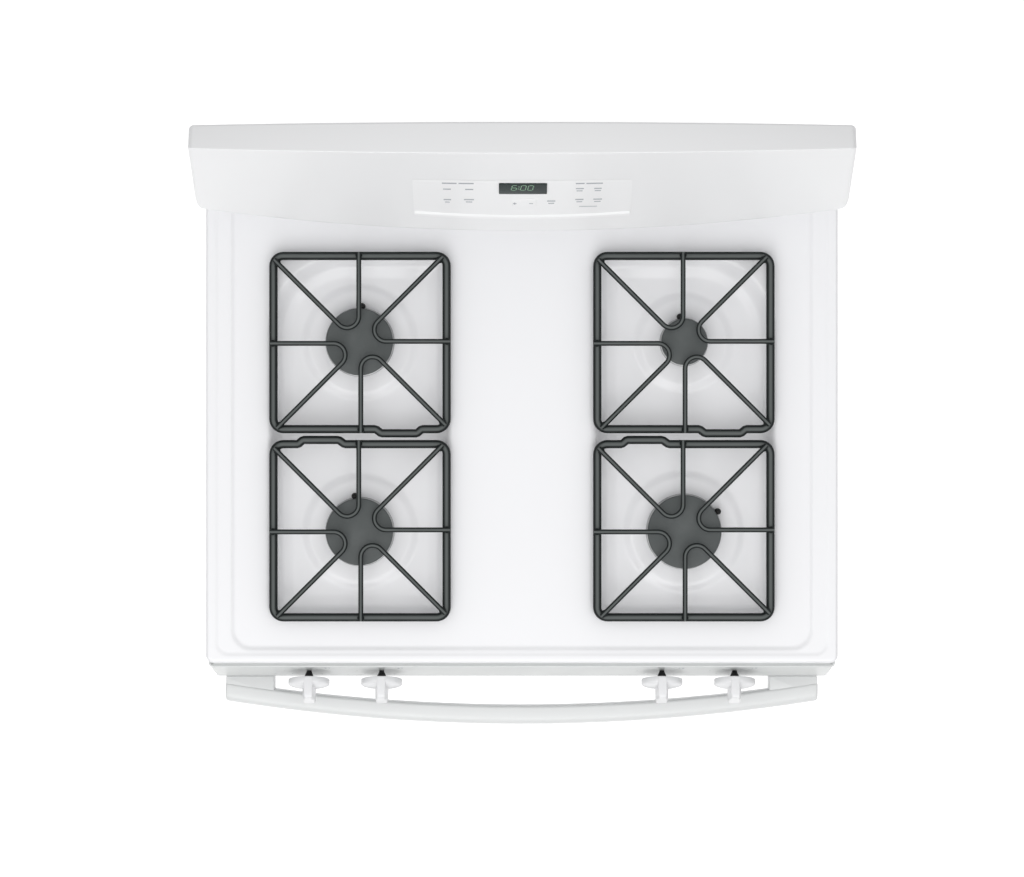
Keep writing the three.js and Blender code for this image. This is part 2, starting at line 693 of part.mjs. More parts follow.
function backguard() {
  const ends = [0, 0.2, 0.5].map((t) => GUARD_HALF - t * GUARD_END);
  const middle = spread(GUARD_HALF - GUARD_END, 15);
  const places = [...ends.map((x) => -x), ...middle, ...ends.reverse()];
  const outer = loftAcross(places, (x) => guardSection(x, 0, false));
  const hollow = loftAcross(spread(GUARD_HALF - 12, 15), (x) => guardSection(x, GUARD_SKIN, true));
  const vents = spread(210, 8).map((x) => block(x - 22, x + 22, BACK - 120, BACK - 60, RIM_TOP + 30,
    RIM_TOP + 36));
  return without(outer, [hollow, ...vents]);
}

function guardCover() {
  const half = GUARD_HALF - 13;
  const top = spread(half, 9).reverse().map((x) => [x, crown(x) - TOP_FALL - 9]);
  const shape = outline([[-half, GUARD_BASE + 3.2], [half, GUARD_BASE + 3.2], ...top]);
  return alongY(shape, BACK - 1.8, BACK - 0.6);
}

function facePoint(x, along, lift) {
  const [topY, topZ] = topEdge(x);
  const [chinY, chinZ] = chinEdge(x);
  const dy = chinY - topY;
  const dz = chinZ + 6 - topZ;
  const length = Math.hypot(dy, dz);
  return [topY + dy * along + (dz / length) * lift, topZ + dz * along - (dy / length) * lift];
}

function faceSlab(x0, x1, from, to, low, high, count) {
  const places = spread((x1 - x0) / 2, count).map((x) => x + (x0 + x1) / 2);
  return loftAcross(places, (x) => [facePoint(x, to, high), facePoint(x, to, low), facePoint(x, from, low),
    facePoint(x, from, high)]);
}

function controlBoard() {
  const board = block(-110, 110, 318, 320, 1030, 1120);
  const chips = [[-80, 30, 26], [0, 40, 14], [70, 24, 20]].map(([x, w, d]) =>
    block(x - w / 2, x + w / 2, 319 - d, 319, 1050, 1050 + w));
  return joined([board, ...chips]);
}

// --- Assembly --------------------------------------------------------------------------------

add('side_panel_left', sidePanel(-1), 'paint');
add('side_panel_right', sidePanel(1), 'paint');
add('back_panel', backPanel(), 'steel');
add('base_frame', baseFrame(), 'black');
['front_left', 'front_right', 'rear_left', 'rear_right'].forEach((name, i) => {
  add(`leveling_leg_${name}`, moved(levelingLeg(), ...legPlaces()[i]), 'steel');
});
add('front_frame', frontFrame(), 'speckle');
add('oven_liner', ovenLiner(), 'speckle');
add('insulation', insulation(), 'wool');
add('oven_floor', ovenFloor(), 'speckle');
add('bake_burner', bakeBurner(), 'steel');
add('broil_burner', broilBurner(), 'steel');
add('oven_lamp', ovenLamp(), 'glass');
add('door_gasket', gasket(), 'seal');
RACK_LEVELS.forEach((level, i) => add(`oven_rack_${['lower', 'upper'][i]}`, rack(level), 'chrome'));

add('door_panel', doorPanel(), 'paint');
add('door_window', doorWindow(), 'glass');
add('door_liner', doorLiner(), 'speckle');
add('door_inner_glass', doorInnerGlass(), 'glass');
add('door_handle', doorHandle(), 'plastic');
add('hinge_arm_left', hingeArm(-1), 'steel');
add('hinge_arm_right', hingeArm(1), 'steel');
add('drawer_front', drawerFront(), 'paint');
add('drawer_bin', drawerBin(), 'steel');

add('cooktop', cooktop(), 'porcelain');
add('control_panel', controlPanel(), 'paint');
add('gas_manifold', gasManifold(), 'aluminium');
add('gas_regulator', gasRegulator(), 'aluminium');
Object.entries(BURNERS).forEach(([name, burner]) => {
  add(`burner_base_${name}`, burnerBase(burner), 'aluminium');
  add(`burner_cap_${name}`, burnerCap(burner), 'enamel');
  add(`igniter_${name}`, igniter(burner), 'black');
});
add('grate_rear_left', grate(-GRATE_X, GRATE_REAR, 0, 3), 'enamel');
add('grate_front_left', grate(-GRATE_X, GRATE_FRONT, 180), 'enamel');
add('grate_rear_right', grate(GRATE_X, GRATE_REAR, 0, 2), 'enamel');
add('grate_front_right', grate(GRATE_X, GRATE_FRONT, 180), 'enamel');
KNOB_NAMES.forEach((name, i) => {
  add(`valve_stem_${name}`, valveStem(KNOB_X[i]), 'black');
  add(`knob_${name}`, knob(KNOB_X[i]), 'plastic');
});

add('backguard', backguard(), 'paint');
add('backguard_cover', guardCover(), 'steel');
add('control_overlay', faceSlab(-126.5, 126.5, 0.335, 0.795, GAP, 2.6, 9), 'plastic');
add('display_lens', faceSlab(-27, 28.5, 0.363, 0.489, 2.9, 4.1, 3), 'display');
add('control_board', controlBoard(), 'board');

export default range;
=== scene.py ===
"""Looks of a freestanding gas range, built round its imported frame. Metres, +Z up, front towards -Y."""
import json
import math

import bpy
import numpy as np
from mathutils import Matrix, Vector


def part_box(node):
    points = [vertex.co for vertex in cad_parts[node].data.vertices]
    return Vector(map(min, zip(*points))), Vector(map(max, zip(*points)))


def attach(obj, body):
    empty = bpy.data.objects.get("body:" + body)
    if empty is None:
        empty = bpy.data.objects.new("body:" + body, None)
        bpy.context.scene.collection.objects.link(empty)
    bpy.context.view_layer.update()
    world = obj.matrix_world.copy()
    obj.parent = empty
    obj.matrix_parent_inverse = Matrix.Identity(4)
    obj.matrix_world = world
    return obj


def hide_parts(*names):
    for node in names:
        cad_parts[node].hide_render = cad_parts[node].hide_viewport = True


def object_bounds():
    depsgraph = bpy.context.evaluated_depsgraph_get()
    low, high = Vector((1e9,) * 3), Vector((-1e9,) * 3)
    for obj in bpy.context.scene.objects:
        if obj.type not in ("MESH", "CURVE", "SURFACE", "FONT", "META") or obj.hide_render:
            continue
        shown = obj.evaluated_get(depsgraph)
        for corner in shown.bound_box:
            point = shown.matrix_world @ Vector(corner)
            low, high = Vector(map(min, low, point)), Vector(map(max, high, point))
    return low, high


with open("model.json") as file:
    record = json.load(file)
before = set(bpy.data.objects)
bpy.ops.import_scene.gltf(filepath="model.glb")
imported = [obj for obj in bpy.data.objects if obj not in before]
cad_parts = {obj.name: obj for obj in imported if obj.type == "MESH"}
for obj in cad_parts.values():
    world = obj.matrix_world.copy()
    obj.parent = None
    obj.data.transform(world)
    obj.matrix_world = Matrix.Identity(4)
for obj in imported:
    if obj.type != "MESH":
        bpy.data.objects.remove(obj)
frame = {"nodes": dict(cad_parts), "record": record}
cad_low, cad_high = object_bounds()

MM = 0.001
TAU = 2 * math.pi

# Places read from the frame
COOK_LOW, COOK_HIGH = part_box("cooktop")
HALF_X = COOK_HIGH.x
RIM_TOP = COOK_HIGH.z
DECK_DROP = 3 * MM
DECK = RIM_TOP - DECK_DROP
BACK = cad_high.y
CROWN = cad_high.z
PANEL_LOW, PANEL_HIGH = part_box("control_panel")
BURNERS = ("rear_left", "front_left", "rear_right", "front_right")

# Cooktop: the rim rises in two steps round the deck, which has two wells and a plateau per burner
RIM_SIDE = 35 * MM
RIM_FRONT = 20 * MM
RIM_CORNER = 20 * MM
RIM_SLOPE = 6 * MM
LIP_SIDE = 13 * MM
LIP_FRONT = 10 * MM
LIP_CORNER = 14 * MM
LIP_RISE = 0.9 * MM
LIP_SLOPE = 3 * MM
BACK_CORNER = 2 * MM
WELL_DEPTH = 18 * MM
WELL_SLOPE = 20 * MM
WELL_STEP = 3 * MM
STEP_SLOPE = 16 * MM
WELL_INNER = 84 * MM
WELL_OUTER = 306 * MM
WELL_FRONT = -224 * MM
WELL_BACK = 219 * MM
WELL_TURN = 96 * MM
WELL_CORNER = 20 * MM
PLATEAU_RISE = 4 * MM
PLATEAU_SKIRT = 9 * MM
PLATEAU_SLOPE = 13 * MM
PLATEAUS = {"rear_left": 63 * MM, "front_left": 63 * MM, "rear_right": 53 * MM, "front_right": 66 * MM}
PAN_EDGE = 4 * MM
PAN_CORNER = 9 * MM

# Grates: a square bar frame with four fingers of round rod
BAR = 10 * MM
BAR_DROP = 15 * MM
ROD = 3 * MM
FOOT_RADIUS = 3.4 * MM
FOOT_INSET = 8.2 * MM
GRATE_CORNER = 17 * MM
JOG = 5 * MM
BEND = 14 * MM

# Backguard
CROWN_RISE = 50 * MM
TOP_FALL = 15 * MM
CHIN_RISE = 95 * MM
GUARD_END = 6 * MM

# Camera: straight down from five metres above the cooktop
CAMERA_HEIGHT = 5.0
CAMERA_LENS = 146.4
CAMERA_X = -11.9 * MM
CAMERA_Y = -4.5 * MM

# Studio light: each softbox has a place, a size in metres and a power in watts
FLOOR_REACH = 2.4
FLOOR_GLOW = 0.72
SKY_LOW = 0.3
SKY_HIGH = 0.9
SOFTBOXES = (("key_softbox", (-0.3, -2.6, 5.6), 4.8, 106),
             ("front_softbox", (-0.4, -3.6, 3.0), 2.2, 25))

SHARP = math.radians(40)


# --- Materials --------------------------------------------------------------------------------

class Look:
    """A material with one Principled shader and a few texture nodes in object space."""

    def __init__(self, name, colour, rough, metal=0.0, coat=0.0, **sockets):
        self.material = bpy.data.materials.new(name)
        self.material.use_nodes = True
        self.tree = self.material.node_tree
        self.shader = self.tree.nodes["Principled BSDF"]
        self.shader.inputs["Base Color"].default_value = (*colour, 1)
        self.shader.inputs["Roughness"].default_value = rough
        self.shader.inputs["Metallic"].default_value = metal
        self.shader.inputs["Coat Weight"].default_value = coat
        for socket, value in sockets.items():
            self.shader.inputs[socket.replace("_", " ")].default_value = value
        self.colour = colour
        self.rough = rough
        self.place = self.tree.nodes.new("ShaderNodeTexCoord").outputs["Object"]

    def node(self, kind, **inputs):
        """A new node; an input's value is a number, a tuple or another node's output."""
        made = self.tree.nodes.new(kind)
        for socket, value in inputs.items():
            self.put(made.inputs[socket.replace("_", " ")], value)
        return made

    def put(self, socket, value):
        if isinstance(value, bpy.types.NodeSocket):
            self.tree.links.new(value, socket)
        else:
            socket.default_value = value

    def noise(self, scale, detail=3.0):
        return self.node("ShaderNodeTexNoise", Vector=self.place, Scale=scale, Detail=detail).outputs["Fac"]

    def cells(self, scale, output="Distance"):
        return self.node("ShaderNodeTexVoronoi", Vector=self.place, Scale=scale).outputs[output]

    def spread(self, value, low, high, out_low=0.0, out_high=1.0):
        """Takes low..high to out_low..out_high, and holds what lies outside."""
        made = self.node("ShaderNodeMapRange", Value=value, From_Min=low, From_Max=high, To_Min=out_low,
                         To_Max=out_high)
        return made.outputs["Result"]

    def mix(self, factor, first, second):
        made = self.tree.nodes.new("ShaderNodeMix")
        made.data_type = "RGBA"
        self.put(made.inputs["Factor"], factor)
        colour_a, colour_b, colour_out = 6, 7, 2
        self.put(made.inputs[colour_a], first)
        self.put(made.inputs[colour_b], second)
        return made.outputs[colour_out]

    def tint(self, factor, second):
        """Blends the base colour towards a second colour where factor is high."""
        self.put(self.shader.inputs["Base Color"], self.mix(factor, (*self.colour, 1), (*second, 1)))

    def vary_roughness(self, factor, amount):
        low, high = self.rough - amount, self.rough + amount
        self.put(self.shader.inputs["Roughness"], self.spread(factor, 0.3, 0.7, low, high))

    def bump(self, height, distance, strength):
        made = self.node("ShaderNodeBump", Height=height, Distance=distance, Strength=strength)
        self.put(self.shader.inputs["Normal"], made.outputs["Normal"])


def make_looks():
    """Every material by name: the record's slots, and a few darker copies of the whites, with painted shade,
    that only pieces built here have.
    """
    looks = {}

    def keep(name, *args, **kwargs):
        looks[name] = Look(name, *args, **kwargs)
        return looks[name]

    enamel = keep("white_enamel", (0.83, 0.832, 0.848), 0.28, coat=0.25, Coat_Roughness=0.12)
    enamel.tint(enamel.spread(enamel.noise(3, 1), 0.2, 0.8), (0.828, 0.83, 0.847))
    enamel.bump(enamel.noise(30, 1), 0.00004, 0.1)

    # The second paint is a darker copy of the white paint, for the front panel: painted shade
    for name, colour, rough, patch in (
            ("white_paint", (0.845, 0.848, 0.855), 0.38, (0.83, 0.835, 0.845)),
            ("shaded_panel_paint", (0.625, 0.64, 0.635), 0.36, (0.615, 0.63, 0.625))):
        paint = keep(name, colour, rough, coat=0.15, Coat_Roughness=0.2)
        paint.tint(paint.spread(paint.noise(3, 2), 0.35, 0.65, 0, 0.5), patch)
        paint.vary_roughness(paint.noise(20), 0.04)
        paint.bump(paint.noise(420, 3), 0.00008, 0.4)

    # The grip and knob plastics are darker copies of the white plastic, for the handle and the knobs: painted
    # shade
    for name, colour, patch in (("white_plastic", (0.875, 0.878, 0.885), (0.86, 0.863, 0.87)),
                                ("shaded_grip_plastic", (0.7, 0.71, 0.71), (0.69, 0.7, 0.7)),
                                ("shaded_knob_plastic", (0.76, 0.763, 0.775), (0.745, 0.748, 0.757))):
        plastic = keep(name, colour, 0.34, coat=0.1, Coat_Roughness=0.15)
        plastic.tint(plastic.spread(plastic.noise(9, 2), 0.4, 0.6, 0, 0.4), patch)
        plastic.vary_roughness(plastic.noise(60), 0.04)
        plastic.bump(plastic.noise(1300, 2), 0.00003, 0.4)

    # Painted highlight: the grates' enamel is made lighter where the bars face up, and stays darkest on their
    # sides
    grate = keep("grate_enamel", (0.008, 0.011, 0.011), 0.45, Specular_IOR_Level=0.22)
    normal = grate.node("ShaderNodeNewGeometry").outputs["Normal"]
    facing = grate.node("ShaderNodeSeparateXYZ", Vector=normal)
    grate.tint(grate.spread(facing.outputs["Z"], 0.84, 0.995), (0.095, 0.105, 0.103))
    grate.vary_roughness(grate.noise(45, 4), 0.08)
    grate.bump(grate.noise(600, 4), 0.0002, 0.5)

    cap = keep("cap_enamel", (0.064, 0.073, 0.073), 0.5, coat=0.05, Coat_Roughness=0.35)
    cap.tint(cap.spread(cap.noise(35, 5), 0.45, 0.75), (0.08, 0.089, 0.089))
    cap.vary_roughness(cap.noise(25, 4), 0.08)
    cap.bump(cap.noise(900, 4), 0.00012, 0.5)

    black = keep("black_plastic", (0.012, 0.012, 0.013), 0.45)
    black.tint(black.spread(black.noise(70), 0.4, 0.7, 0, 0.6), (0.02, 0.02, 0.021))
    black.bump(black.noise(1500, 2), 0.00005, 0.5)

    ceramic = keep("igniter_ceramic", (0.006, 0.006, 0.006), 0.5, Specular_IOR_Level=0.3)
    ceramic.tint(ceramic.spread(ceramic.noise(200), 0.4, 0.7), (0.011, 0.011, 0.011))
    ceramic.bump(ceramic.noise(1100, 2), 0.00006, 0.5)

    oven = keep("oven_enamel", (0.014, 0.016, 0.022), 0.28, coat=0.3, Coat_Roughness=0.1)
    specks = oven.spread(oven.cells(420), 0.12, 0.2, 1, 0)
    oven.tint(specks, (0.42, 0.44, 0.48))
    oven.vary_roughness(oven.noise(30), 0.05)
    oven.bump(oven.noise(260, 2), 0.00008, 0.4)

    dark = keep("dark_glass", (0.006, 0.007, 0.008), 0.05, coat=0.5, Specular_IOR_Level=0.6)
    dark.tint(dark.spread(dark.noise(4), 0.4, 0.6), (0.009, 0.01, 0.011))
    dark.vary_roughness(dark.noise(12), 0.015)
    dark.bump(dark.noise(5, 1), 0.0004, 0.05)

    clear = keep("clear_glass", (0.86, 0.9, 0.9), 0.06, Transmission_Weight=0.85, IOR=1.48)
    clear.vary_roughness(clear.noise(15), 0.02)
    clear.bump(clear.noise(6, 1), 0.0004, 0.05)

    lamp = keep("lamp_glass", (0.85, 0.83, 0.76), 0.35, Transmission_Weight=0.3)
    lamp.vary_roughness(lamp.noise(60), 0.08)
    lamp.bump(lamp.cells(260), 0.0005, 0.5)

    display = keep("display_glass", (0.008, 0.018, 0.017), 0.2, Specular_IOR_Level=0.25)
    display.tint(display.spread(display.noise(30), 0.4, 0.6), (0.012, 0.024, 0.022))
    display.bump(display.noise(8, 1), 0.0003, 0.08)

    zinc = keep("zinc_steel", (0.5, 0.51, 0.52), 0.42, metal=0.85)
    zinc.tint(zinc.cells(55, "Color"), (0.62, 0.63, 0.64))
    zinc.vary_roughness(zinc.noise(40), 0.1)
    zinc.bump(zinc.cells(55), 0.0002, 0.25)

    frame_black = keep("black_steel", (0.016, 0.016, 0.018), 0.5)
    frame_black.tint(frame_black.spread(frame_black.noise(40), 0.45, 0.7), (0.03, 0.03, 0.032))
    frame_black.bump(frame_black.noise(700, 3), 0.00012, 0.5)

    burner = keep("burner_steel", (0.42, 0.41, 0.4), 0.45, metal=0.9)
    burner.tint(burner.spread(burner.noise(22, 5), 0.45, 0.75), (0.3, 0.26, 0.22))
    burner.bump(burner.noise(300, 3), 0.0002, 0.4)

    chrome = keep("rack_chrome", (0.66, 0.67, 0.68), 0.2, metal=1.0)
    chrome.vary_roughness(chrome.noise(50), 0.08)
    chrome.bump(chrome.noise(500), 0.0001, 0.3)

    cast = keep("cast_aluminium", (0.43, 0.435, 0.44), 0.48, metal=0.9)
    cast.tint(cast.spread(cast.noise(60, 5), 0.4, 0.7), (0.33, 0.335, 0.34))
    cast.vary_roughness(cast.noise(90), 0.1)
    cast.bump(cast.noise(900, 4), 0.0003, 0.5)

    seal = keep("gasket_fibre", (0.09, 0.092, 0.095), 0.95)
    braid = seal.node("ShaderNodeTexWave", Vector=seal.place, Scale=160.0, Distortion=3.0).outputs["Fac"]
    seal.tint(seal.spread(braid, 0.2, 0.8), (0.2, 0.205, 0.21))
    seal.bump(braid, 0.0008, 0.8)

    wool = keep("wool", (0.62, 0.53, 0.28), 0.95)
    wool.tint(wool.noise(40, 6), (0.75, 0.68, 0.42))
    wool.bump(wool.noise(180, 8), 0.004, 0.9)

    circuit = keep("circuit_board", (0.02, 0.11, 0.045), 0.4, coat=0.3)
    tracks = circuit.cells(260)
    circuit.tint(circuit.spread(tracks, 0.25, 0.3), (0.03, 0.16, 0.07))
    circuit.bump(tracks, 0.0002, 0.4)

    ink = keep("grey_ink", (0.36, 0.38, 0.41), 0.5)
    ink.tint(ink.spread(ink.noise(400), 0.4, 0.7, 0, 0.4), (0.45, 0.47, 0.5))
    ink.bump(ink.noise(1200), 0.00002, 0.3)

    digit = keep("lit_digit", (0.13, 0.23, 0.15), 0.4, Emission_Color=(0.3, 0.5, 0.34, 1),
                 Emission_Strength=0.16)
    digit.tint(digit.noise(300), (0.15, 0.26, 0.17))
    digit.bump(digit.noise(900), 0.00002, 0.3)
    return {name: look.material for name, look in looks.items()}


LOOKS = make_looks()


# --- Mesh tools -------------------------------------------------------------------------------

def piece(name, verts, faces, look, sharp=SHARP):
    """A smooth-shaded object whose edges stay sharp above the given angle."""
    mesh = bpy.data.meshes.new(name)
    mesh.from_pydata([tuple(map(float, v)) for v in verts], [], faces)
    mesh.validate()
    mesh.shade_smooth()
    mesh.set_sharp_from_angle(angle=sharp)
    mesh.materials.append(LOOKS[look])
    made = bpy.data.objects.new(name, mesh)
    bpy.context.collection.objects.link(made)
    return made


def belong(made, body, look_slot, *nodes):
    """Puts a piece on its body; it stands in for the frame's nodes named here. Its slot is not used."""
    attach(made, body)
    if nodes:
        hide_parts(*nodes)


class Skin:
    """Vertices and faces gathered from several closed skins."""

    def __init__(self):
        self.verts = []
        self.faces = []

    def add(self, verts, faces, turn=None):
        start = len(self.verts)
        self.verts += [turn @ Vector(v) if turn else Vector(v) for v in verts]
        self.faces += [[start + i for i in f] for f in faces]
        return self

    def piece(self, name, look, sharp=SHARP):
        return piece(name, self.verts, self.faces, look, sharp)


def quarter(steps):
    """A quarter round as (1 - sin, 1 - cos) pairs, from (1, 0) to (0, 1)."""
    angles = [math.pi / 2 * k / steps for k in range(steps + 1)]
    return [(1 - math.sin(a), 1 - math.cos(a)) for a in angles]


def loft(rings, caps=True):
    """Quads between rings of equally many points, each anticlockwise seen from the far end."""
    count = len(rings[0])
    verts = [p for ring in rings for p in ring]
    faces = []
    for r in range(len(rings) - 1):
        for i in range(count):
            a, b = r * count + i, r * count + (i + 1) % count
            faces.append([a, b, b + count, a + count])
    if caps:
        last = (len(rings) - 1) * count
        faces.append(list(reversed(range(count))))
        faces.append([last + i for i in range(count)])
    return verts, faces


def lathe(profile, steps):
    """Turns a profile of (radius, height) pairs round +Z; it starts and ends on the axis."""
    inner = profile[1:-1]
    verts = [(0, 0, profile[0][1]), (0, 0, profile[-1][1])]
    for r, h in inner:
        verts += [(r * math.cos(TAU * i / steps), r * math.sin(TAU * i / steps), h) for i in range(steps)]
    faces = []
    for i in range(steps):
        j = (i + 1) % steps
        faces.append([0, 2 + j, 2 + i])
        top = 2 + (len(inner) - 1) * steps
        faces.append([1, top + i, top + j])
        for r in range(len(inner) - 1):
            low, high = 2 + r * steps, 2 + (r + 1) * steps
            faces.append([low + i, low + j, high + j, high + i])
    return verts, faces


def filleted(points, radii, steps):
    """A closed 2-D outline whose corners are rounded to the given radii."""
    out = []
    count = len(points)
    for i, (point, radius) in enumerate(zip(points, radii)):
        p = Vector(point)
        a = Vector(points[i - 1]) - p
        b = Vector(points[(i + 1) % count]) - p
        room = min(a.length, b.length) * 0.49
        a.normalize()
        b.normalize()
        half = math.acos(max(-1, min(1, a.dot(b)))) / 2
        reach = min(radius / max(math.tan(half), 1e-6), room)
        start, end = p + a * reach, p + b * reach
        for k in range(steps + 1):
            t = k / steps
            out.append((start * (1 - t) ** 2 + p * 2 * t * (1 - t) + end * t * t)[:])
    return out


def inward(outline, distance):
    """A closed anticlockwise outline drawn in by a distance."""
    pts = np.array(outline)
    before, after = np.roll(pts, 1, axis=0), np.roll(pts, -1, axis=0)

    def normal(d):
        length = np.linalg.norm(d, axis=1, keepdims=True)
        d = d / np.where(length > 1e-9, length, 1)
        return np.stack([-d[:, 1], d[:, 0]], axis=1)

    n1, n2 = normal(pts - before), normal(after - pts)
    mean = n1 + n2
    mean /= np.linalg.norm(mean, axis=1, keepdims=True)
    slack = np.clip((mean * n1).sum(axis=1, keepdims=True), 0.5, 1)
    return pts + mean * distance / slack


def pillow(outline, low, high, radius, steps):
    """A flat anticlockwise outline raised from low to high with both rims rounded to a radius."""
    rims = [(radius * out, radius * rise) for out, rise in quarter(steps)]
    levels = [(drawn, low + rise) for drawn, rise in rims]
    levels += [(drawn, high - rise) for drawn, rise in reversed(rims)]
    return loft([[(x, y, z) for x, y in inward(outline, drawn)] for drawn, z in levels])


def rounded_box(x0, x1, y0, y1, radii, steps=6):
    """An anticlockwise rounded rectangle; radii run from the front left corner anticlockwise."""
    corners = ((x0, y0, 1, 1), (x1, y0, -1, 1), (x1, y1, -1, -1), (x0, y1, 1, -1))
    out = []
    for k, ((x, y, sx, sy), r) in enumerate(zip(corners, radii)):
        for i in range(steps + 1):
            angle = math.pi + (k + i / steps) * math.pi / 2
            out.append((x + sx * r + r * math.cos(angle), y + sy * r + r * math.sin(angle)))
    return out


def tube(path, section, closed=False):
    """Sweeps a section of (side, up) pairs along a path of points, with the section upright."""
    upright = Vector((0, 0, 1))
    path = [Vector(p) for p in path]
    rings = []
    for i, p in enumerate(path):
        before = path[i - 1] if closed or i else p
        after = path[(i + 1) % len(path)] if closed or i < len(path) - 1 else p
        ahead = (after - before).normalized()
        side = ahead.cross(upright).normalized()
        lift = side.cross(ahead)
        rings.append([p + side * s + lift * u for s, u in section])
    if closed:
        verts, faces = loft(rings + rings[:1], caps=False)
        count = len(section)
        total = len(path) * count
        return verts[:total], [[i % total for i in f] for f in faces]
    return loft(rings)


def circle(radius, sides):
    return [(radius * math.cos(TAU * i / sides), radius * math.sin(TAU * i / sides)) for i in range(sides)]


def smooth(t):
    """Eases from 0 to 1 as t runs from 0 to 1."""
    t = np.clip(t, 0, 1)
    return t * t * (3 - 2 * t)


# --- Cooktop ----------------------------------------------------------------------------------

def box_distance(x, y, x0, x1, y0, y1, radii):
    """Signed distance to a rounded rectangle; radii run from the front left corner anticlockwise."""
    cx, cy = (x0 + x1) / 2, (y0 + y1) / 2
    left, front = x < cx, y < cy
    r = np.where(front, np.where(left, radii[0], radii[1]), np.where(left, radii[3], radii[2]))
    qx = np.abs(x - cx) - (x1 - x0) / 2 + r
    qy = np.abs(y - cy) - (y1 - y0) / 2 + r
    return np.hypot(np.maximum(qx, 0), np.maximum(qy, 0)) + np.minimum(np.maximum(qx, qy), 0) - r


def burner_places():
    """Each burner cap's middle and radius."""
    places = {}
    for name in BURNERS:
        low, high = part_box(f"burner_cap_{name}")
        places[name] = ((low.x + high.x) / 2, (low.y + high.y) / 2, (high.x - low.x) / 2)
    return places


PLACES = burner_places()


def deck_height(x, y):
    """Height of the cooktop's pressed sheet over the point x, y."""
    z = np.full_like(x, DECK)
    inner = box_distance(x, y, -HALF_X + RIM_SIDE, HALF_X - RIM_SIDE, COOK_LOW.y + RIM_FRONT, BACK,
                         [RIM_CORNER, RIM_CORNER, BACK_CORNER, BACK_CORNER])
    outer = box_distance(x, y, -HALF_X + LIP_SIDE, HALF_X - LIP_SIDE, COOK_LOW.y + LIP_FRONT, BACK,
                         [LIP_CORNER, LIP_CORNER, BACK_CORNER, BACK_CORNER])
    z = z + (DECK_DROP - LIP_RISE) * smooth(inner / RIM_SLOPE)
    z = z + LIP_RISE * smooth((outer + LIP_SLOPE / 2) / LIP_SLOPE)
    for side in (-1, 1):
        x0, x1 = sorted((side * WELL_INNER, side * WELL_OUTER))
        corners = [WELL_CORNER] * 4
        outer_rear = 2 if side > 0 else 3
        corners[outer_rear] = WELL_TURN
        inside = -box_distance(x, y, x0, x1, WELL_FRONT, WELL_BACK, corners)
        z = z - (WELL_DEPTH - WELL_STEP) * smooth(inside / WELL_SLOPE)
        z = z - WELL_STEP * smooth((inside - WELL_SLOPE * 0.8) / STEP_SLOPE)
    for name, (bx, by, _) in PLACES.items():
        r = np.hypot(x - bx, y - by)
        z = z + PLATEAU_RISE * smooth((PLATEAUS[name] + PLATEAU_SKIRT - r) / PLATEAU_SLOPE)
    return z


def axis_lines(low, high, dense):
    """Grid lines from low to high, closer together inside the dense ranges."""
    fine, coarse = 1.6 * MM, 5 * MM
    lines = [low]
    while lines[-1] < high:
        here = lines[-1]
        step = fine if any(a <= here <= b for a, b in dense) else coarse
        lines.append(here + step)
    lines[-1] = high
    return np.array(lines)


def cooktop():
    """The pressed sheet as a grid of heights, with its edge turned down all round."""
    edge, corner = PAN_EDGE, PAN_CORNER
    margin = 1 * MM
    wells = WELL_INNER - margin
    xs = axis_lines(-HALF_X + edge, HALF_X - edge, [(-HALF_X, -wells), (wells, HALF_X)])
    ys = axis_lines(COOK_LOW.y + edge, COOK_HIGH.y - edge, [(COOK_LOW.y, WELL_BACK + 3 * margin)])
    gx, gy = np.meshgrid(xs, ys)
    # The grid's front corners are pulled in from a square to a round
    for side in (-1, 1):
        centre = side * (HALF_X - corner)
        dx, dy = (gx - centre) * side, (COOK_LOW.y + corner) - gy
        zone = (dx > 0) & (dy > 0)
        reach = np.hypot(dx, dy)
        square = np.maximum(dx, dy)
        scale = np.where(zone & (reach > 0), square / np.maximum(reach, 1e-9), 1)
        gx = np.where(zone, centre + side * dx * scale, gx)
        gy = np.where(zone, COOK_LOW.y + corner - dy * scale, gy)
    gz = deck_height(gx, gy)
    rows, cols = gx.shape
    verts = np.stack([gx, gy, gz], axis=2).reshape(-1, 3)
    faces = [[r * cols + c, r * cols + c + 1, (r + 1) * cols + c + 1, (r + 1) * cols + c]
             for r in range(rows - 1) for c in range(cols - 1)]
    border = [*range(cols), *[r * cols + cols - 1 for r in range(1, rows)],
              *[(rows - 1) * cols + c for c in range(cols - 2, -1, -1)],
              *[r * cols for r in range(rows - 2, 0, -1)]]
    ring = verts[border]
    flat = ring[:, :2]
    rings = []
    for k in range(1, 6):
        angle = math.pi / 2 * k / 5
        out = inward(flat, -edge * math.sin(angle))
        rings.append(np.column_stack([out, ring[:, 2] - edge * (1 - math.cos(angle))]))
    sheet = 2 * MM
    for grow, level in ((edge, COOK_LOW.z + 1 * MM), (edge - 0.4 * MM, COOK_LOW.z + 0.3 * MM),
                        (edge - sheet, COOK_LOW.z + 0.3 * MM), (edge - sheet, COOK_LOW.z + 12 * MM)):
        rings.append(np.column_stack([inward(flat, -grow), np.full(len(flat), level)]))
    count = len(border)
    all_verts = np.vstack([verts, *rings])
    start = len(verts)
    loops = [border] + [list(range(start + k * count, start + (k + 1) * count)) for k in range(len(rings))]
    for above, below in zip(loops, loops[1:]):
        for i in range(count):
            j = (i + 1) % count
            faces.append([above[j], above[i], below[i], below[j]])
    made = piece("cooktop_pan", all_verts, faces, "white_enamel", math.radians(60))
    belong(made, "cabinet", "white_enamel", "cooktop")


# --- Burners and grates -----------------------------------------------------------------------

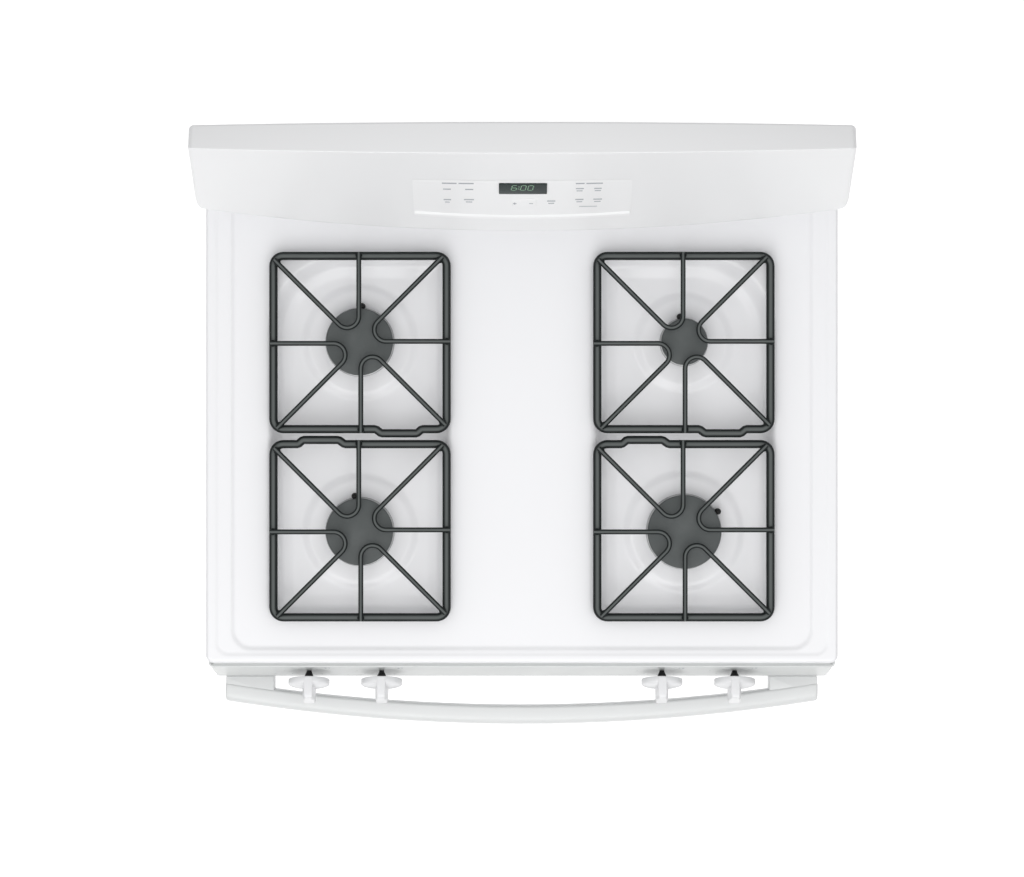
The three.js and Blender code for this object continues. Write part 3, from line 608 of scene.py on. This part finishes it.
def burner_set(name):
    """A burner's cap, its base with flame slots round the crown, and its igniter."""
    x, y, radius = PLACES[name]
    place = Matrix.Translation((x, y, 0))
    seat = DECK - WELL_DEPTH + PLATEAU_RISE
    low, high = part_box(f"burner_cap_{name}")
    edge, rise = 1.6 * MM, 1.2 * MM
    rim = [(radius - edge * out, high.z - rise - edge * drop) for out, drop in reversed(quarter(6))]
    dome = [(r * (radius - edge), high.z - rise * r ** 2.4) for r in (0.92, 0.8, 0.6, 0.4, 0.2, 0.08)]
    profile = [(0, low.z + 0.5 * MM), (radius - 5 * MM, low.z + 0.5 * MM), (radius - 4.4 * MM, low.z),
               (radius - 0.7 * MM, low.z), (radius, low.z + 0.7 * MM), *rim, *dome, (0, high.z)]
    cap = Skin().add(*lathe(profile, 128), turn=place).piece(f"cap_{name}", "cap_enamel")
    belong(cap, f"cap_{name}", "cap_enamel", f"burner_cap_{name}")

    ports = max(18, round(radius * 700))
    steps = ports * 4
    flank = [(1.5, 0.3), (1, 1.4), (-3, 2.2), (-4.2, 4), (-4.4, 6.5), (-4.4, 12.4), (-5.2, 14.2)]
    profile = [(0, seat + 0.3 * MM), *[(radius + r * MM, seat + h * MM) for r, h in flank],
               (0, seat + 14.4 * MM)]
    verts, faces = lathe(profile, steps)
    slotted = []
    slot_depth = 2.6 * MM
    for i, v in enumerate(verts):
        v = Vector(v)
        around = round(math.atan2(v.y, v.x) / TAU * steps) % 4
        if v.z > seat + 5 * MM and i > 1 and around in (0, 1):
            v.xy *= (v.xy.length - slot_depth) / v.xy.length
        slotted.append(v)
    base = Skin().add(slotted, faces, turn=place)
    base.add(*lathe([(0, seat - 22 * MM), (radius * 0.58, seat - 20 * MM), (radius * 0.58, seat + 1 * MM),
                     (0, seat + 1 * MM)], 48), turn=place)
    belong(base.piece(f"base_{name}", "cast_aluminium", math.radians(30)), "cabinet", "cast_aluminium",
           f"burner_base_{name}")

    low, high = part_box(f"igniter_{name}")
    spot = Matrix.Translation(((low.x + high.x) / 2, (low.y + high.y) / 2, 0))
    r = (high.x - low.x) / 2
    stem = [(0, seat - 10 * MM), (r, seat - 10 * MM), (r, seat + 14 * MM), (r * 0.94, seat + 15 * MM),
            (r * 0.72, seat + 15.6 * MM), (r * 0.66, seat + 17 * MM), (r * 0.4, seat + 17.6 * MM),
            (r * 0.26, seat + 17.8 * MM), (r * 0.24, high.z - 0.4 * MM), (0, high.z)]
    made = Skin().add(*lathe(stem, 28), turn=spot).piece(f"electrode_{name}", "igniter_ceramic")
    belong(made, "cabinet", "igniter_ceramic", f"igniter_{name}")


def grate_line(half, corner):
    """Middle line of the frame bar, with the jog in the bar that faces the other grate."""
    steps = 8
    points = rounded_box(-half, half, -half, half, [corner] * 4, steps)
    bulge = ((17.4, 0), (19.5, 0.12), (22, 0.5), (24.6, 0.88), (26.7, 1), (47, 1), (67.4, 1), (69, 0.88),
             (71.2, 0.5), (73.4, 0.12), (75, 0))
    jog = [(x * MM, -half - out * JOG) for x, out in bulge]
    return [*points[:steps + 1], (-20 * MM, -half), *jog, *points[steps + 1:]]


def finger_line(half):
    """Middle line of one rod finger: in from the rear bar, round a bend and out to the rear left."""
    centre = Vector((-15.2 * MM, 31.4 * MM))
    line = [Vector((centre.x + BEND, half))]
    line += [centre + BEND * Vector((math.cos(math.radians(a)), math.sin(math.radians(a))))
             for a in np.linspace(0, -135, 16)]
    run = 102.5 * MM + line[-1].x
    line.append(line[-1] + Vector((-run, run)))
    return line


def grate_skin(deck_foot):
    """One grate about its own centre; deck_foot is the corner whose foot stands beside the well."""
    low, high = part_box("grate_rear_left")
    half = (high.x - low.x) / 2
    skin = Skin()
    line = grate_line(half - BAR / 2, GRATE_CORNER - BAR / 2)
    section = rounded_box(-BAR / 2, BAR / 2, -BAR / 2, BAR / 2, [2 * MM, 2 * MM, 4.9 * MM, 4.9 * MM], 7)
    level = high.z - BAR_DROP + BAR / 2
    skin.add(*tube([(x, y, level) for x, y in line], section, closed=True))
    rod_z = high.z - ROD
    weld = [(0, -1), (0.6, -0.8), (0.92, -0.4), (1, 0), (0.92, 0.4), (0.6, 0.8), (0, 1)]
    weld_radius, weld_half = 4.2 * MM, 3 * MM
    for finger in range(4):
        turn = Matrix.Rotation(-finger * math.pi / 2, 4, "Z")
        path = [(p.x, p.y, rod_z) for p in finger_line(half - 0.6 * MM)]
        skin.add(*tube(path, circle(ROD, 14)), turn=turn)
        for end in (path[0], path[-1]):
            blob = lathe([(r * weld_radius, h * weld_half) for r, h in weld], 20)
            drawn = Vector(end) * 0.965
            skin.add(*blob, turn=turn @ Matrix.Translation((drawn.x, drawn.y, rod_z - 1.4 * MM)))
    reach = (half - FOOT_INSET) * math.sqrt(2)
    for corner in range(4):
        foot = DECK + 0.6 * MM if corner == deck_foot else DECK - 2.6 * MM
        angle = math.radians(225 + corner * 90)
        x, y = reach * math.cos(angle), reach * math.sin(angle)
        shape = [(0, foot), (FOOT_RADIUS - 0.8 * MM, foot), (FOOT_RADIUS, foot + 1 * MM),
                 (FOOT_RADIUS, level), (0, level)]
        skin.add(*lathe(shape, 20), turn=Matrix.Translation((x, y, 0)))
    return skin


def grates():
    """The four grates; the front ones are turned half round."""
    for name, turned, deck_foot in (("rear_left", 0, 3), ("front_left", math.pi, None),
                                    ("rear_right", 0, 2), ("front_right", math.pi, None)):
        low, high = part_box(f"grate_{name}")
        half = (high.x - low.x) / 2
        x = (low.x + high.x) / 2
        y = low.y + half if turned else high.y - half
        place = Matrix.Translation((x, y, 0)) @ Matrix.Rotation(turned, 4, "Z")
        base = grate_skin(deck_foot)
        skin = Skin().add(base.verts, base.faces, turn=place)
        made = skin.piece(f"rod_grate_{name}", "grate_enamel", math.radians(50))
        belong(made, f"grate_{name}", "grate_enamel", f"grate_{name}")


# --- Front panel, knobs and handle ------------------------------------------------------------

PANEL_TOP_Y = -278 * MM
PANEL_TILT = math.atan2(PANEL_TOP_Y - PANEL_LOW.y, PANEL_HIGH.z - PANEL_LOW.z)
KNOB_Z = 848 * MM
HANDLE_BOW = 29 * MM
PANEL_CORNER = 10 * MM


def panel_y(z):
    """Where the sloping face of the front panel lies at a height."""
    return PANEL_TOP_Y - (PANEL_HIGH.z - z) * math.tan(PANEL_TILT)


def knob_frame(name):
    """Local +Z leaves the panel along the knob's axis and +Y runs up the panel."""
    low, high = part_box(f"knob_{name}")
    place = Matrix.Translation(((low.x + high.x) / 2, panel_y(KNOB_Z), KNOB_Z))
    return place @ Matrix.Rotation(math.pi / 2 - PANEL_TILT, 4, "X")


def front_panel():
    """A sloping panel with a lip along its top edge and a groove behind the lip."""
    foot_y = panel_y(PANEL_LOW.z)
    edge = 3 * MM
    lip = 1.6 * MM
    lip_drop = 3.4 * MM
    groove = 1.2 * MM
    top = PANEL_HIGH.z
    levels = [(PANEL_LOW.z + edge * rise, edge * out) for out, rise in quarter(5)]
    levels += [(PANEL_LOW.z + t * (top - PANEL_LOW.z), 0) for t in (0.25, 0.5, 0.75, 0.9)]
    levels += [(top - lip_drop, 0), (top - 2.6 * MM, -lip * 0.6), (top - 2 * MM, -lip),
               (top - 0.9 * MM, -lip), (top - 0.3 * MM, 0.3 * MM - lip), (top, 1 * MM - lip),
               (top, 2.1 * MM - lip), (top - groove, 2.3 * MM - lip), (top - groove, 6 * MM)]
    rings = []
    for z, drawn in levels:
        front = min(panel_y(z), panel_y(top - lip_drop))
        corner = max(4 * MM, PANEL_CORNER - (front - foot_y))
        outline = rounded_box(PANEL_LOW.x + lip, PANEL_HIGH.x - lip, front, PANEL_HIGH.y - lip,
                              [corner, corner, MM, MM], 10)
        rings.append([(x, y, z) for x, y in inward(outline, drawn)])
    # The panel's paint is a darker copy of the white paint: painted shade
    made = Skin().add(*loft(rings)).piece("front_panel_face", "shaded_panel_paint", math.radians(50))
    belong(made, "cabinet", "white_paint", "control_panel")
    panel_marks()


def panel_marks():
    """Plain dots at each knob: four for the burners, its own one larger, and a row round the dial."""
    ink = Skin()
    small, large, sunk = 0.8 * MM, 1.6 * MM, -0.3 * MM
    map_x, map_y, spacing = 23 * MM, 20 * MM, 2.2 * MM
    reach = 30 * MM

    def dot(dial, x, y, radius, low, high, steps):
        shape = lathe([(0, low), (radius, low), (radius, high), (0, high)], steps)
        ink.add(*shape, turn=dial @ Matrix.Translation((x, y, 0)))

    for name in BURNERS:
        dial = knob_frame(name)
        for sx in (-1, 1):
            for sy in (-1, 1):
                own = (sx < 0) == ("left" in name) and (sy > 0) == ("rear" in name)
                dot(dial, map_x + spacing * sx, map_y + spacing * sy, large if own else small,
                    sunk + 0.12 * MM, 0.12 * MM, 20)
        for turn in (90, 135, 170, 210):
            angle = math.radians(90 + turn)
            dot(dial, reach * math.cos(angle), reach * math.sin(angle), small, sunk, 0.1 * MM, 16)
    belong(ink.piece("panel_marks", "grey_ink"), "cabinet", "black_plastic")


def knob(name):
    """A round skirt with a raised grip across it, and the stem behind; sizes are millimetres."""
    place = knob_frame(name)
    skirt = [(0, 10), (20, 10), (23.6, 10.1), (24.5, 10.4), (25, 11.2), (25, 16), (24.7, 17), (24, 17.8),
             (22.4, 18.7), (19, 19.8), (14, 20.6), (8, 21), (0, 21)]
    skin = Skin().add(*lathe([(r * MM, h * MM) for r, h in skirt], 96), turn=place)
    rings = []
    levels = [(11.2, 1, 25.2), (17, 1, 25.2), (24, 0.98, 24.8), (32, 0.95, 24.2), (34.6, 0.92, 23.6),
              (36, 0.84, 22.8), (36.8, 0.74, 21.8), (37, 0.6, 20.6)]
    for h, thin, reach in levels:
        crest, waist = 5.3 * thin, 8 * thin
        corners = [(-waist, -reach), (waist, -reach), (waist, 2), (crest, 12), (crest, reach),
                   (-crest, reach), (-crest, 12), (-waist, 2)]
        outline = filleted([(x * MM, y * MM) for x, y in corners],
                           [r * MM for r in (4, 4, 6, 6, 1.4, 1.4, 6, 6)], 6)
        rings.append([(x, y, h * MM) for x, y in outline])
    skin.add(*loft(rings), turn=place)
    # The knob's plastic is a darker copy of the white plastic: painted shade
    made = skin.piece(f"gas_knob_{name}", "shaded_knob_plastic", math.radians(38))
    belong(made, f"knob_{name}", "white_plastic", f"knob_{name}")
    stem = [(0, -24), (3, -24), (3, 1), (3.3, 1.7), (4.9, 5), (5.2, 5.8), (5.2, 9.4), (4.9, 9.7), (0, 9.7)]
    skin = Skin().add(*lathe([(r * MM, h * MM) for r, h in stem], 40), turn=place)
    made = skin.piece(f"knob_stem_{name}", "black_plastic")
    belong(made, f"stem_{name}", "black_plastic", f"valve_stem_{name}")


def door_handle():
    """A bar that bows forward in the middle, on two brackets that run back to the door."""
    low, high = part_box("door_handle")
    half = high.x
    bracket = 60 * MM
    depth = 23 * MM
    nose, heel = 11 * MM, 4 * MM
    tip = 3 * MM
    ends = [(half - tip * inset, tip * out) for out, inset in reversed(quarter(6))]
    spots = [(-x, drawn) for x, drawn in reversed(ends)]
    spots += [(x, 0) for x in np.linspace(-half + tip, half - tip, 61)[1:-1]]
    spots += ends
    rings = []
    for x, drawn in spots:
        front = low.y + HANDLE_BOW * (x / half) ** 2
        outline = rounded_box(front, front + depth, low.z, high.z, [nose, heel, heel, nose], 8)
        rings.append([(x, y, z) for y, z in inward(outline, drawn)])
    skin = Skin().add(*loft(rings))
    for side in (-1, 1):
        x0, x1 = sorted((side * (half - bracket), side * (half - 0.6 * MM)))
        front = low.y + HANDLE_BOW + 5 * MM
        plan = rounded_box(x0, x1, front, high.y, [2 * MM] * 4, 5)
        skin.add(*pillow(plan, low.z + 1 * MM, high.z - 1 * MM, 2 * MM, 4))
    # The handle's plastic is a darker copy of the white plastic: painted shade
    made = skin.piece("bowed_handle", "shaded_grip_plastic", math.radians(50))
    belong(made, "oven_door", "white_plastic", "door_handle")


# --- Backguard --------------------------------------------------------------------------------

GUARD_LOW, GUARD_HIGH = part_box("backguard")
GUARD_HALF = GUARD_HIGH.x
CHIN_Z = RIM_TOP + CHIN_RISE
CHIN_TURN = 9 * MM
CHIN_TURN_RISE = 17 * MM
COVER_SEAT = 2 * MM
COVER_HALF = GUARD_HALF - 12.4 * MM
FACE_LENGTH = 185 * MM

# The riser under the chin: its foot and head stand behind the chin's edge, and its head below it
RISER_FOOT = 20 * MM
RISER_HEAD = 9 * MM
RISER_DROP = 17 * MM

# Slots in the riser; heights are above the cooktop's rim
VENTS = 8
VENT_SPREAD = 210 * MM
VENT_HALF = 22 * MM
VENT_LOW = 30 * MM
VENT_HIGH = 36 * MM

# Heights above the sloping face, along its normal
OVERLAY_LIFT = 0.7 * MM
WINDOW_LIFT = 2.4 * MM
DIGIT_LIFT = 2.62 * MM


def bow(x):
    """1 in the middle of the backguard and 0 at its ends."""
    return 1 - (x / GUARD_HALF) ** 2


def crown(x):
    """Height of the backguard's top edge."""
    return CROWN - CROWN_RISE * (1 - bow(x))


def top_edge(x):
    """Where the top of the backguard meets its face, in Y."""
    return BACK - (28 + 9 * bow(x)) * MM


def chin_edge(x):
    """The lower edge of the face, which turns up along the slope close to the ends."""
    short = max(0.0, abs(x) - GUARD_HALF + CHIN_TURN) / CHIN_TURN
    lift = CHIN_TURN_RISE * (1 - math.sqrt(max(0.0, 1 - short ** 2)))
    return BACK - (90 + 27 * bow(x)) * MM + 0.45 * lift, CHIN_Z + 0.89 * lift


def guard_ring(x, drawn):
    """The backguard's section at x, drawn in by a distance, with the rear cover's recess."""
    top_y = top_edge(x)
    chin_y, chin_z = chin_edge(x)
    top = crown(x)
    corners = [(chin_y + RISER_FOOT, GUARD_LOW.z), (BACK, GUARD_LOW.z), (BACK, top - TOP_FALL),
               (top_y, top), (chin_y, chin_z), (chin_y + RISER_HEAD, chin_z - RISER_DROP)]
    radii = [max(r * MM, drawn + 0.3 * MM) for r in (1, 1, 4, 1.2, 12, 14)]
    steps = 7
    outline = [tuple(p) for p in inward(filleted(corners, radii, steps), drawn)]
    rear = BACK - drawn
    seat = rear - (COVER_SEAT if abs(x) < COVER_HALF else 0)
    low = GUARD_LOW.z + (7 if drawn else 2.6) * MM
    high = top - TOP_FALL - 8 * MM
    recess = [(rear, low), (seat, low + 0.2 * MM), (seat, high), (rear, high + 0.2 * MM)]
    past_feet = 2 * (steps + 1)
    return outline[:past_feet] + recess + outline[past_feet:]


def backguard():
    """The shell, from section to section; they lie closer together where the shape turns."""
    ends = [(GUARD_HALF - GUARD_END * out, GUARD_END * drawn) for out, drawn in quarter(8)]
    flat = GUARD_HALF - CHIN_TURN
    turn = [flat + (CHIN_TURN - GUARD_END) * t for t in (0.3, 0.6)]
    step = [COVER_HALF - 0.1 * MM, COVER_HALF + 0.1 * MM]
    middle = [*[-x for x in reversed(step + turn)], *np.linspace(-COVER_HALF, COVER_HALF, 65)[1:-1],
              *step, *turn]
    spots = [(-x, drawn) for x, drawn in reversed(ends)] + [(x, 0) for x in middle] + ends
    rings = [[(x, y, z) for y, z in guard_ring(x, drawn)] for x, drawn in spots]
    made = Skin().add(*loft(rings)).piece("backguard_shell", "white_paint")
    belong(made, "cabinet", "white_paint", "backguard")


def riser_vents():
    """Black patches on the riser, under the chin, for its slots: painted shade in place of open slots."""
    made = Skin()
    for centre in np.linspace(-VENT_SPREAD, VENT_SPREAD, VENTS):
        outline = rounded_box(centre - VENT_HALF, centre + VENT_HALF, RIM_TOP + VENT_LOW, RIM_TOP + VENT_HIGH,
                              [2.6 * MM] * 4)
        rings = []
        for lift in (-1 * MM, 0.15 * MM):
            ring = []
            for x, z in outline:
                chin_y, chin_z = chin_edge(x)
                up = (z - GUARD_LOW.z) / (chin_z - RISER_DROP - GUARD_LOW.z)
                ring.append((x, chin_y + RISER_FOOT - (RISER_FOOT - RISER_HEAD) * up - lift, z))
            rings.append(ring)
        made.add(*loft(rings))
    belong(made.piece("riser_vents", "black_plastic"), "cabinet", "black_plastic")


def face_point(x, along, lift):
    """A point on the sloping face: along runs from the top edge (0) to the chin (1)."""
    top_y, top_z = top_edge(x), crown(x)
    chin_y, chin_z = chin_edge(x)
    dy, dz = chin_y - top_y, chin_z - top_z
    length = math.hypot(dy, dz)
    return Vector((x, top_y + dy * along + dz / length * lift, top_z + dz * along - dy / length * lift))


def face_pad(x0, x1, start, end, low, high, radius, edge, steps=4):
    """A rounded pad that follows the bowed face between two fractions of its slope."""
    outline = rounded_box(x0, x1, -end * FACE_LENGTH, -start * FACE_LENGTH, [radius] * 4, 8)
    spacing = 6 * MM
    dense = []
    for i, (ax, ay) in enumerate(outline):
        bx, by = outline[(i + 1) % len(outline)]
        count = max(1, int(math.hypot(bx - ax, by - ay) / spacing))
        dense += [(ax + (bx - ax) * k / count, ay + (by - ay) * k / count) for k in range(count)]
    rings = [[face_point(x, -v / FACE_LENGTH, low) for x, v in dense]]
    for out, drawn in quarter(steps):
        level = high - edge * out
        rings.append([face_point(x, -v / FACE_LENGTH, level) for x, v in inward(dense, edge * drawn)])
    return loft(rings)


def control_overlay():
    """The touch panel: a thin slab with a thicker ledge along its lower edge."""
    start, end, ledge, sag = 0.335, 0.79, 0.05, 0.028
    half = 126.5 * MM
    made = Skin()
    made.add(*panel_slab(half, (start, end), (0, sag), 0.2 * MM, 0.8 * MM, 0.3 * MM))
    made.add(*panel_slab(half - 1 * MM, (end - ledge, end), (sag, sag), 0.5 * MM, 2.4 * MM, 2 * MM))
    belong(made.piece("touch_panel", "white_plastic", math.radians(30)), "cabinet", "white_plastic",
           "control_overlay")


def panel_slab(half, edges, sags, low, high, bevel):
    """A slab on the bowed face; its top edge tapers, and each of its edges sags in the middle."""
    taper = 0.02
    rings = []
    for x in np.linspace(-half, half, 41):
        start, end = (edge + sag * (1 - (x / half) ** 2) for edge, sag in zip(edges, sags))
        outline = filleted([(-end * FACE_LENGTH, low), (-start * FACE_LENGTH, low),
                            (-(start + taper) * FACE_LENGTH, high), (-end * FACE_LENGTH, high)],
                           [0.1 * MM, 0.1 * MM, bevel * 0.4, bevel], 4)
        rings.append([face_point(x, -v / FACE_LENGTH, lift) for v, lift in outline])
    return loft(rings)


SEGMENTS = {"6": "acdefg", "0": "abcdef"}


def digits():
    """The clock's 6:00 in slanted seven-segment bars."""
    wide, tall, thick = 5.6 * MM, 11 * MM, 1.15 * MM
    bars = {"a": (0, 1, 1, 1), "b": (1, 1, 1, 0.5), "c": (1, 0.5, 1, 0), "d": (0, 0, 1, 0),
            "e": (0, 0.5, 0, 0), "f": (0, 1, 0, 0.5), "g": (0, 0.5, 1, 0.5)}
    skin = Skin()
    centre, slant = 0.407, 0.14

    def raised(outline):
        skin.add(*loft([[face_point(x + y * slant, centre - y / FACE_LENGTH, lift) for x, y in outline]
                        for lift in (WINDOW_LIFT, DIGIT_LIFT)]))

    def bar(x0, y0, x1, y1):
        a, b = Vector((x0, y0)), Vector((x1, y1))
        ahead = (b - a).normalized()
        side = Vector((-ahead.y, ahead.x)) * thick / 2
        a, b = a + ahead * 0.35 * MM, b - ahead * 0.35 * MM
        tip = ahead * thick / 2
        raised([a, a + tip - side, b - tip - side, b, b - tip + side, a + tip + side])

    for text, x in (("6", -9.4 * MM), ("0", 1.2 * MM), ("0", 9.6 * MM)):
        for name in SEGMENTS[text]:
            x0, y0, x1, y1 = bars[name]
            bar(x + (x0 - 0.5) * wide, (y0 - 0.5) * tall, x + (x1 - 0.5) * wide, (y1 - 0.5) * tall)
    x, r = -4.2 * MM, 0.75 * MM
    for y in (-2.4 * MM, 2.4 * MM):
        raised([(x - r, y - r), (x + r, y - r), (x + r, y + r), (x - r, y + r)])
    belong(skin.piece("clock_digits", "lit_digit"), "cabinet", "display_glass")


def display():
    """The clock's dark window, raised on the touch panel."""
    made = Skin().add(*face_pad(-27 * MM, 28.5 * MM, 0.363, 0.489, OVERLAY_LIFT, WINDOW_LIFT, 1 * MM,
                                0.4 * MM))
    belong(made.piece("clock_window", "display_glass"), "cabinet", "display_glass", "display_lens")


def keys():
    """Generic printed marks on the touch panel, and a raised rocker under its clock."""
    ink = Skin()
    bevel = 0.05 * MM

    def mark(x0, x1, along, tall):
        """A bar from x0 to x1, tall high, all in millimetres, with its middle at a fraction of the slope."""
        half = tall * MM / FACE_LENGTH / 2
        ink.add(*face_pad(x0 * MM, x1 * MM, along - half, along + half, OVERLAY_LIFT, 1.0 * MM, 0.4 * MM,
                          bevel, 1))

    for x0, words in ((-92.7, (17, 17.5)), (61.6, (10, 19))):
        for wide in words:
            mark(x0, x0 + wide, 0.372, 2.4)
            x0 += wide + 2.2
    for x, wide, along in ((-91.5, 9, 0.447), (-66, 9.5, 0.447), (61.8, 9.2, 0.437), (83, 8.6, 0.437),
                           (-91.3, 8.8, 0.583), (-67.6, 11.6, 0.578), (61.4, 9.6, 0.576), (82.4, 10, 0.576),
                           (28.8, 9.6, 0.592)):
        mark(x, x + wide, along, 2.2)
    for x, wide, along in ((-89.6, 5.4, 0.614), (-65.4, 7.4, 0.608), (62.8, 6.8, 0.606), (83.4, 7.6, 0.606),
                           (30.2, 6.8, 0.622), (62.6, 7, 0.466), (83.6, 7.2, 0.466)):
        mark(x, x + wide, along, 1.8)
    mark(66.2, 87.1, 0.668, 1.2)
    belong(ink.piece("panel_print", "grey_ink"), "cabinet", "black_plastic")

    centre, half = 2.4, 14
    steps = np.linspace(0, 1, 15)
    upper = [(centre + half - 2 * half * t, 0.578 - 0.012 * math.sin(math.pi * t)) for t in steps]
    lower = [(centre - half + 2 * half * t, 0.652 + 0.034 * math.sin(math.pi * t)) for t in steps]
    line = [(x * MM, -v * FACE_LENGTH) for x, v in lower + upper]
    rings = []
    for drawn, lift in ((0, 0.7), (0, 1.2), (0.3, 1.45), (0.9, 1.55)):
        rings.append([face_point(x, -v / FACE_LENGTH, lift * MM) for x, v in inward(line, drawn * MM)])
    rocker = Skin().add(*loft(rings)).piece("clock_rocker", "white_plastic", math.radians(50))
    belong(rocker, "cabinet", "white_plastic")

    signs = Skin()
    for x, upright in ((-8.8, True), (10.3, False)):
        bars = [(x - 2.2, x + 2.2, 0.613, 0.621)]
        if upright:
            bars.append((x - 0.7, x + 0.7, 0.605, 0.629))
        for x0, x1, v0, v1 in bars:
            signs.add(*face_pad(x0 * MM, x1 * MM, v0, v1, 1.3 * MM, 1.65 * MM, 0.2 * MM, bevel, 1))
    belong(signs.piece("rocker_signs", "grey_ink"), "cabinet", "black_plastic")


# --- Carried-over nodes -----------------------------------------------------------------------

def dress_frame():
    """Gives every shown node the material of its slot, and softens its sheet edges."""
    slots = {s["node"]: s["material_slot"] for s in frame["record"]["subparts"]}
    # Edge radii in millimetres
    soft = {"side_panel_left": 0.5, "side_panel_right": 0.5, "door_panel": 1.6, "drawer_front": 1.6,
            "front_frame": 1.0, "door_window": 0.8, "base_frame": 0.5, "drawer_bin": 0.4, "door_liner": 0.6}
    for name, node in frame["nodes"].items():
        node.data.materials.clear()
        node.data.materials.append(LOOKS[slots[name]])
        if name in soft:
            bevel = node.modifiers.new("edge", "BEVEL")
            bevel.width = soft[name] * MM
            bevel.segments = 3
            bevel.limit_method = "ANGLE"
            bevel.angle_limit = math.radians(35)
            bevel.harden_normals = True


# --- Stage ------------------------------------------------------------------------------------

def studio_floor():
    """A plain pale floor, a millimetre under the feet, that glows a little so it stays even."""
    look = Look("studio_floor", (0.5, 0.5, 0.5), 0.9, Emission_Color=(1, 1, 1, 1),
                Emission_Strength=FLOOR_GLOW)
    corners = ((-1, -1), (1, -1), (1, 1), (-1, 1))
    mesh = bpy.data.meshes.new("studio_floor")
    mesh.from_pydata([(x * FLOOR_REACH, y * FLOOR_REACH, -MM) for x, y in corners], [], [[0, 1, 2, 3]])
    mesh.materials.append(look.material)
    floor = bpy.data.objects.new("studio_floor", mesh)
    bpy.context.scene.collection.objects.link(floor)


def studio_sky():
    """A soft sky, brighter overhead than at the horizon."""
    world = bpy.data.worlds.new("studio")
    world.use_nodes = True
    tree = world.node_tree
    background = tree.nodes["Background"]
    background.inputs["Color"].default_value = (1, 1, 1, 1)
    parts = tree.nodes.new("ShaderNodeSeparateXYZ")
    ramp = tree.nodes.new("ShaderNodeMapRange")
    tree.links.new(tree.nodes.new("ShaderNodeTexCoord").outputs["Generated"], parts.inputs["Vector"])
    tree.links.new(parts.outputs["Z"], ramp.inputs["Value"])
    ramp.inputs["From Min"].default_value = -0.1
    ramp.inputs["From Max"].default_value = 0.9
    ramp.inputs["To Min"].default_value = SKY_LOW
    ramp.inputs["To Max"].default_value = SKY_HIGH
    tree.links.new(ramp.outputs["Result"], background.inputs["Strength"])
    bpy.context.scene.world = world


def softbox(name, place, aim, size, power):
    """A square area light at a place, facing a point."""
    light = bpy.data.lights.new(name, "AREA")
    light.shape = "SQUARE"
    light.size = size
    light.energy = power
    lamp = bpy.data.objects.new(name, light)
    lamp.location = place
    lamp.rotation_euler = (Vector(aim) - Vector(place)).to_track_quat("-Z", "Y").to_euler()
    bpy.context.scene.collection.objects.link(lamp)


def camera():
    """Looks straight down on the cooktop."""
    data = bpy.data.cameras.new("camera")
    data.sensor_width = 36
    data.lens = CAMERA_LENS
    data.clip_end = 100
    made = bpy.data.objects.new("camera", data)
    made.location = (CAMERA_X, CAMERA_Y, RIM_TOP + CAMERA_HEIGHT)
    bpy.context.scene.collection.objects.link(made)
    bpy.context.scene.camera = made


def stage():
    studio_floor()
    studio_sky()
    for name, place, size, power in SOFTBOXES:
        softbox(name, place, (0, 0, RIM_TOP), size, power)
    camera()
    bpy.context.scene.view_settings.view_transform = "Standard"


# --- Assembly ---------------------------------------------------------------------------------

stage()
dress_frame()
cooktop()
for burner in BURNERS:
    burner_set(burner)
    knob(burner)
grates()
front_panel()
door_handle()
backguard()
riser_vents()
control_overlay()
display()
digits()
keys()
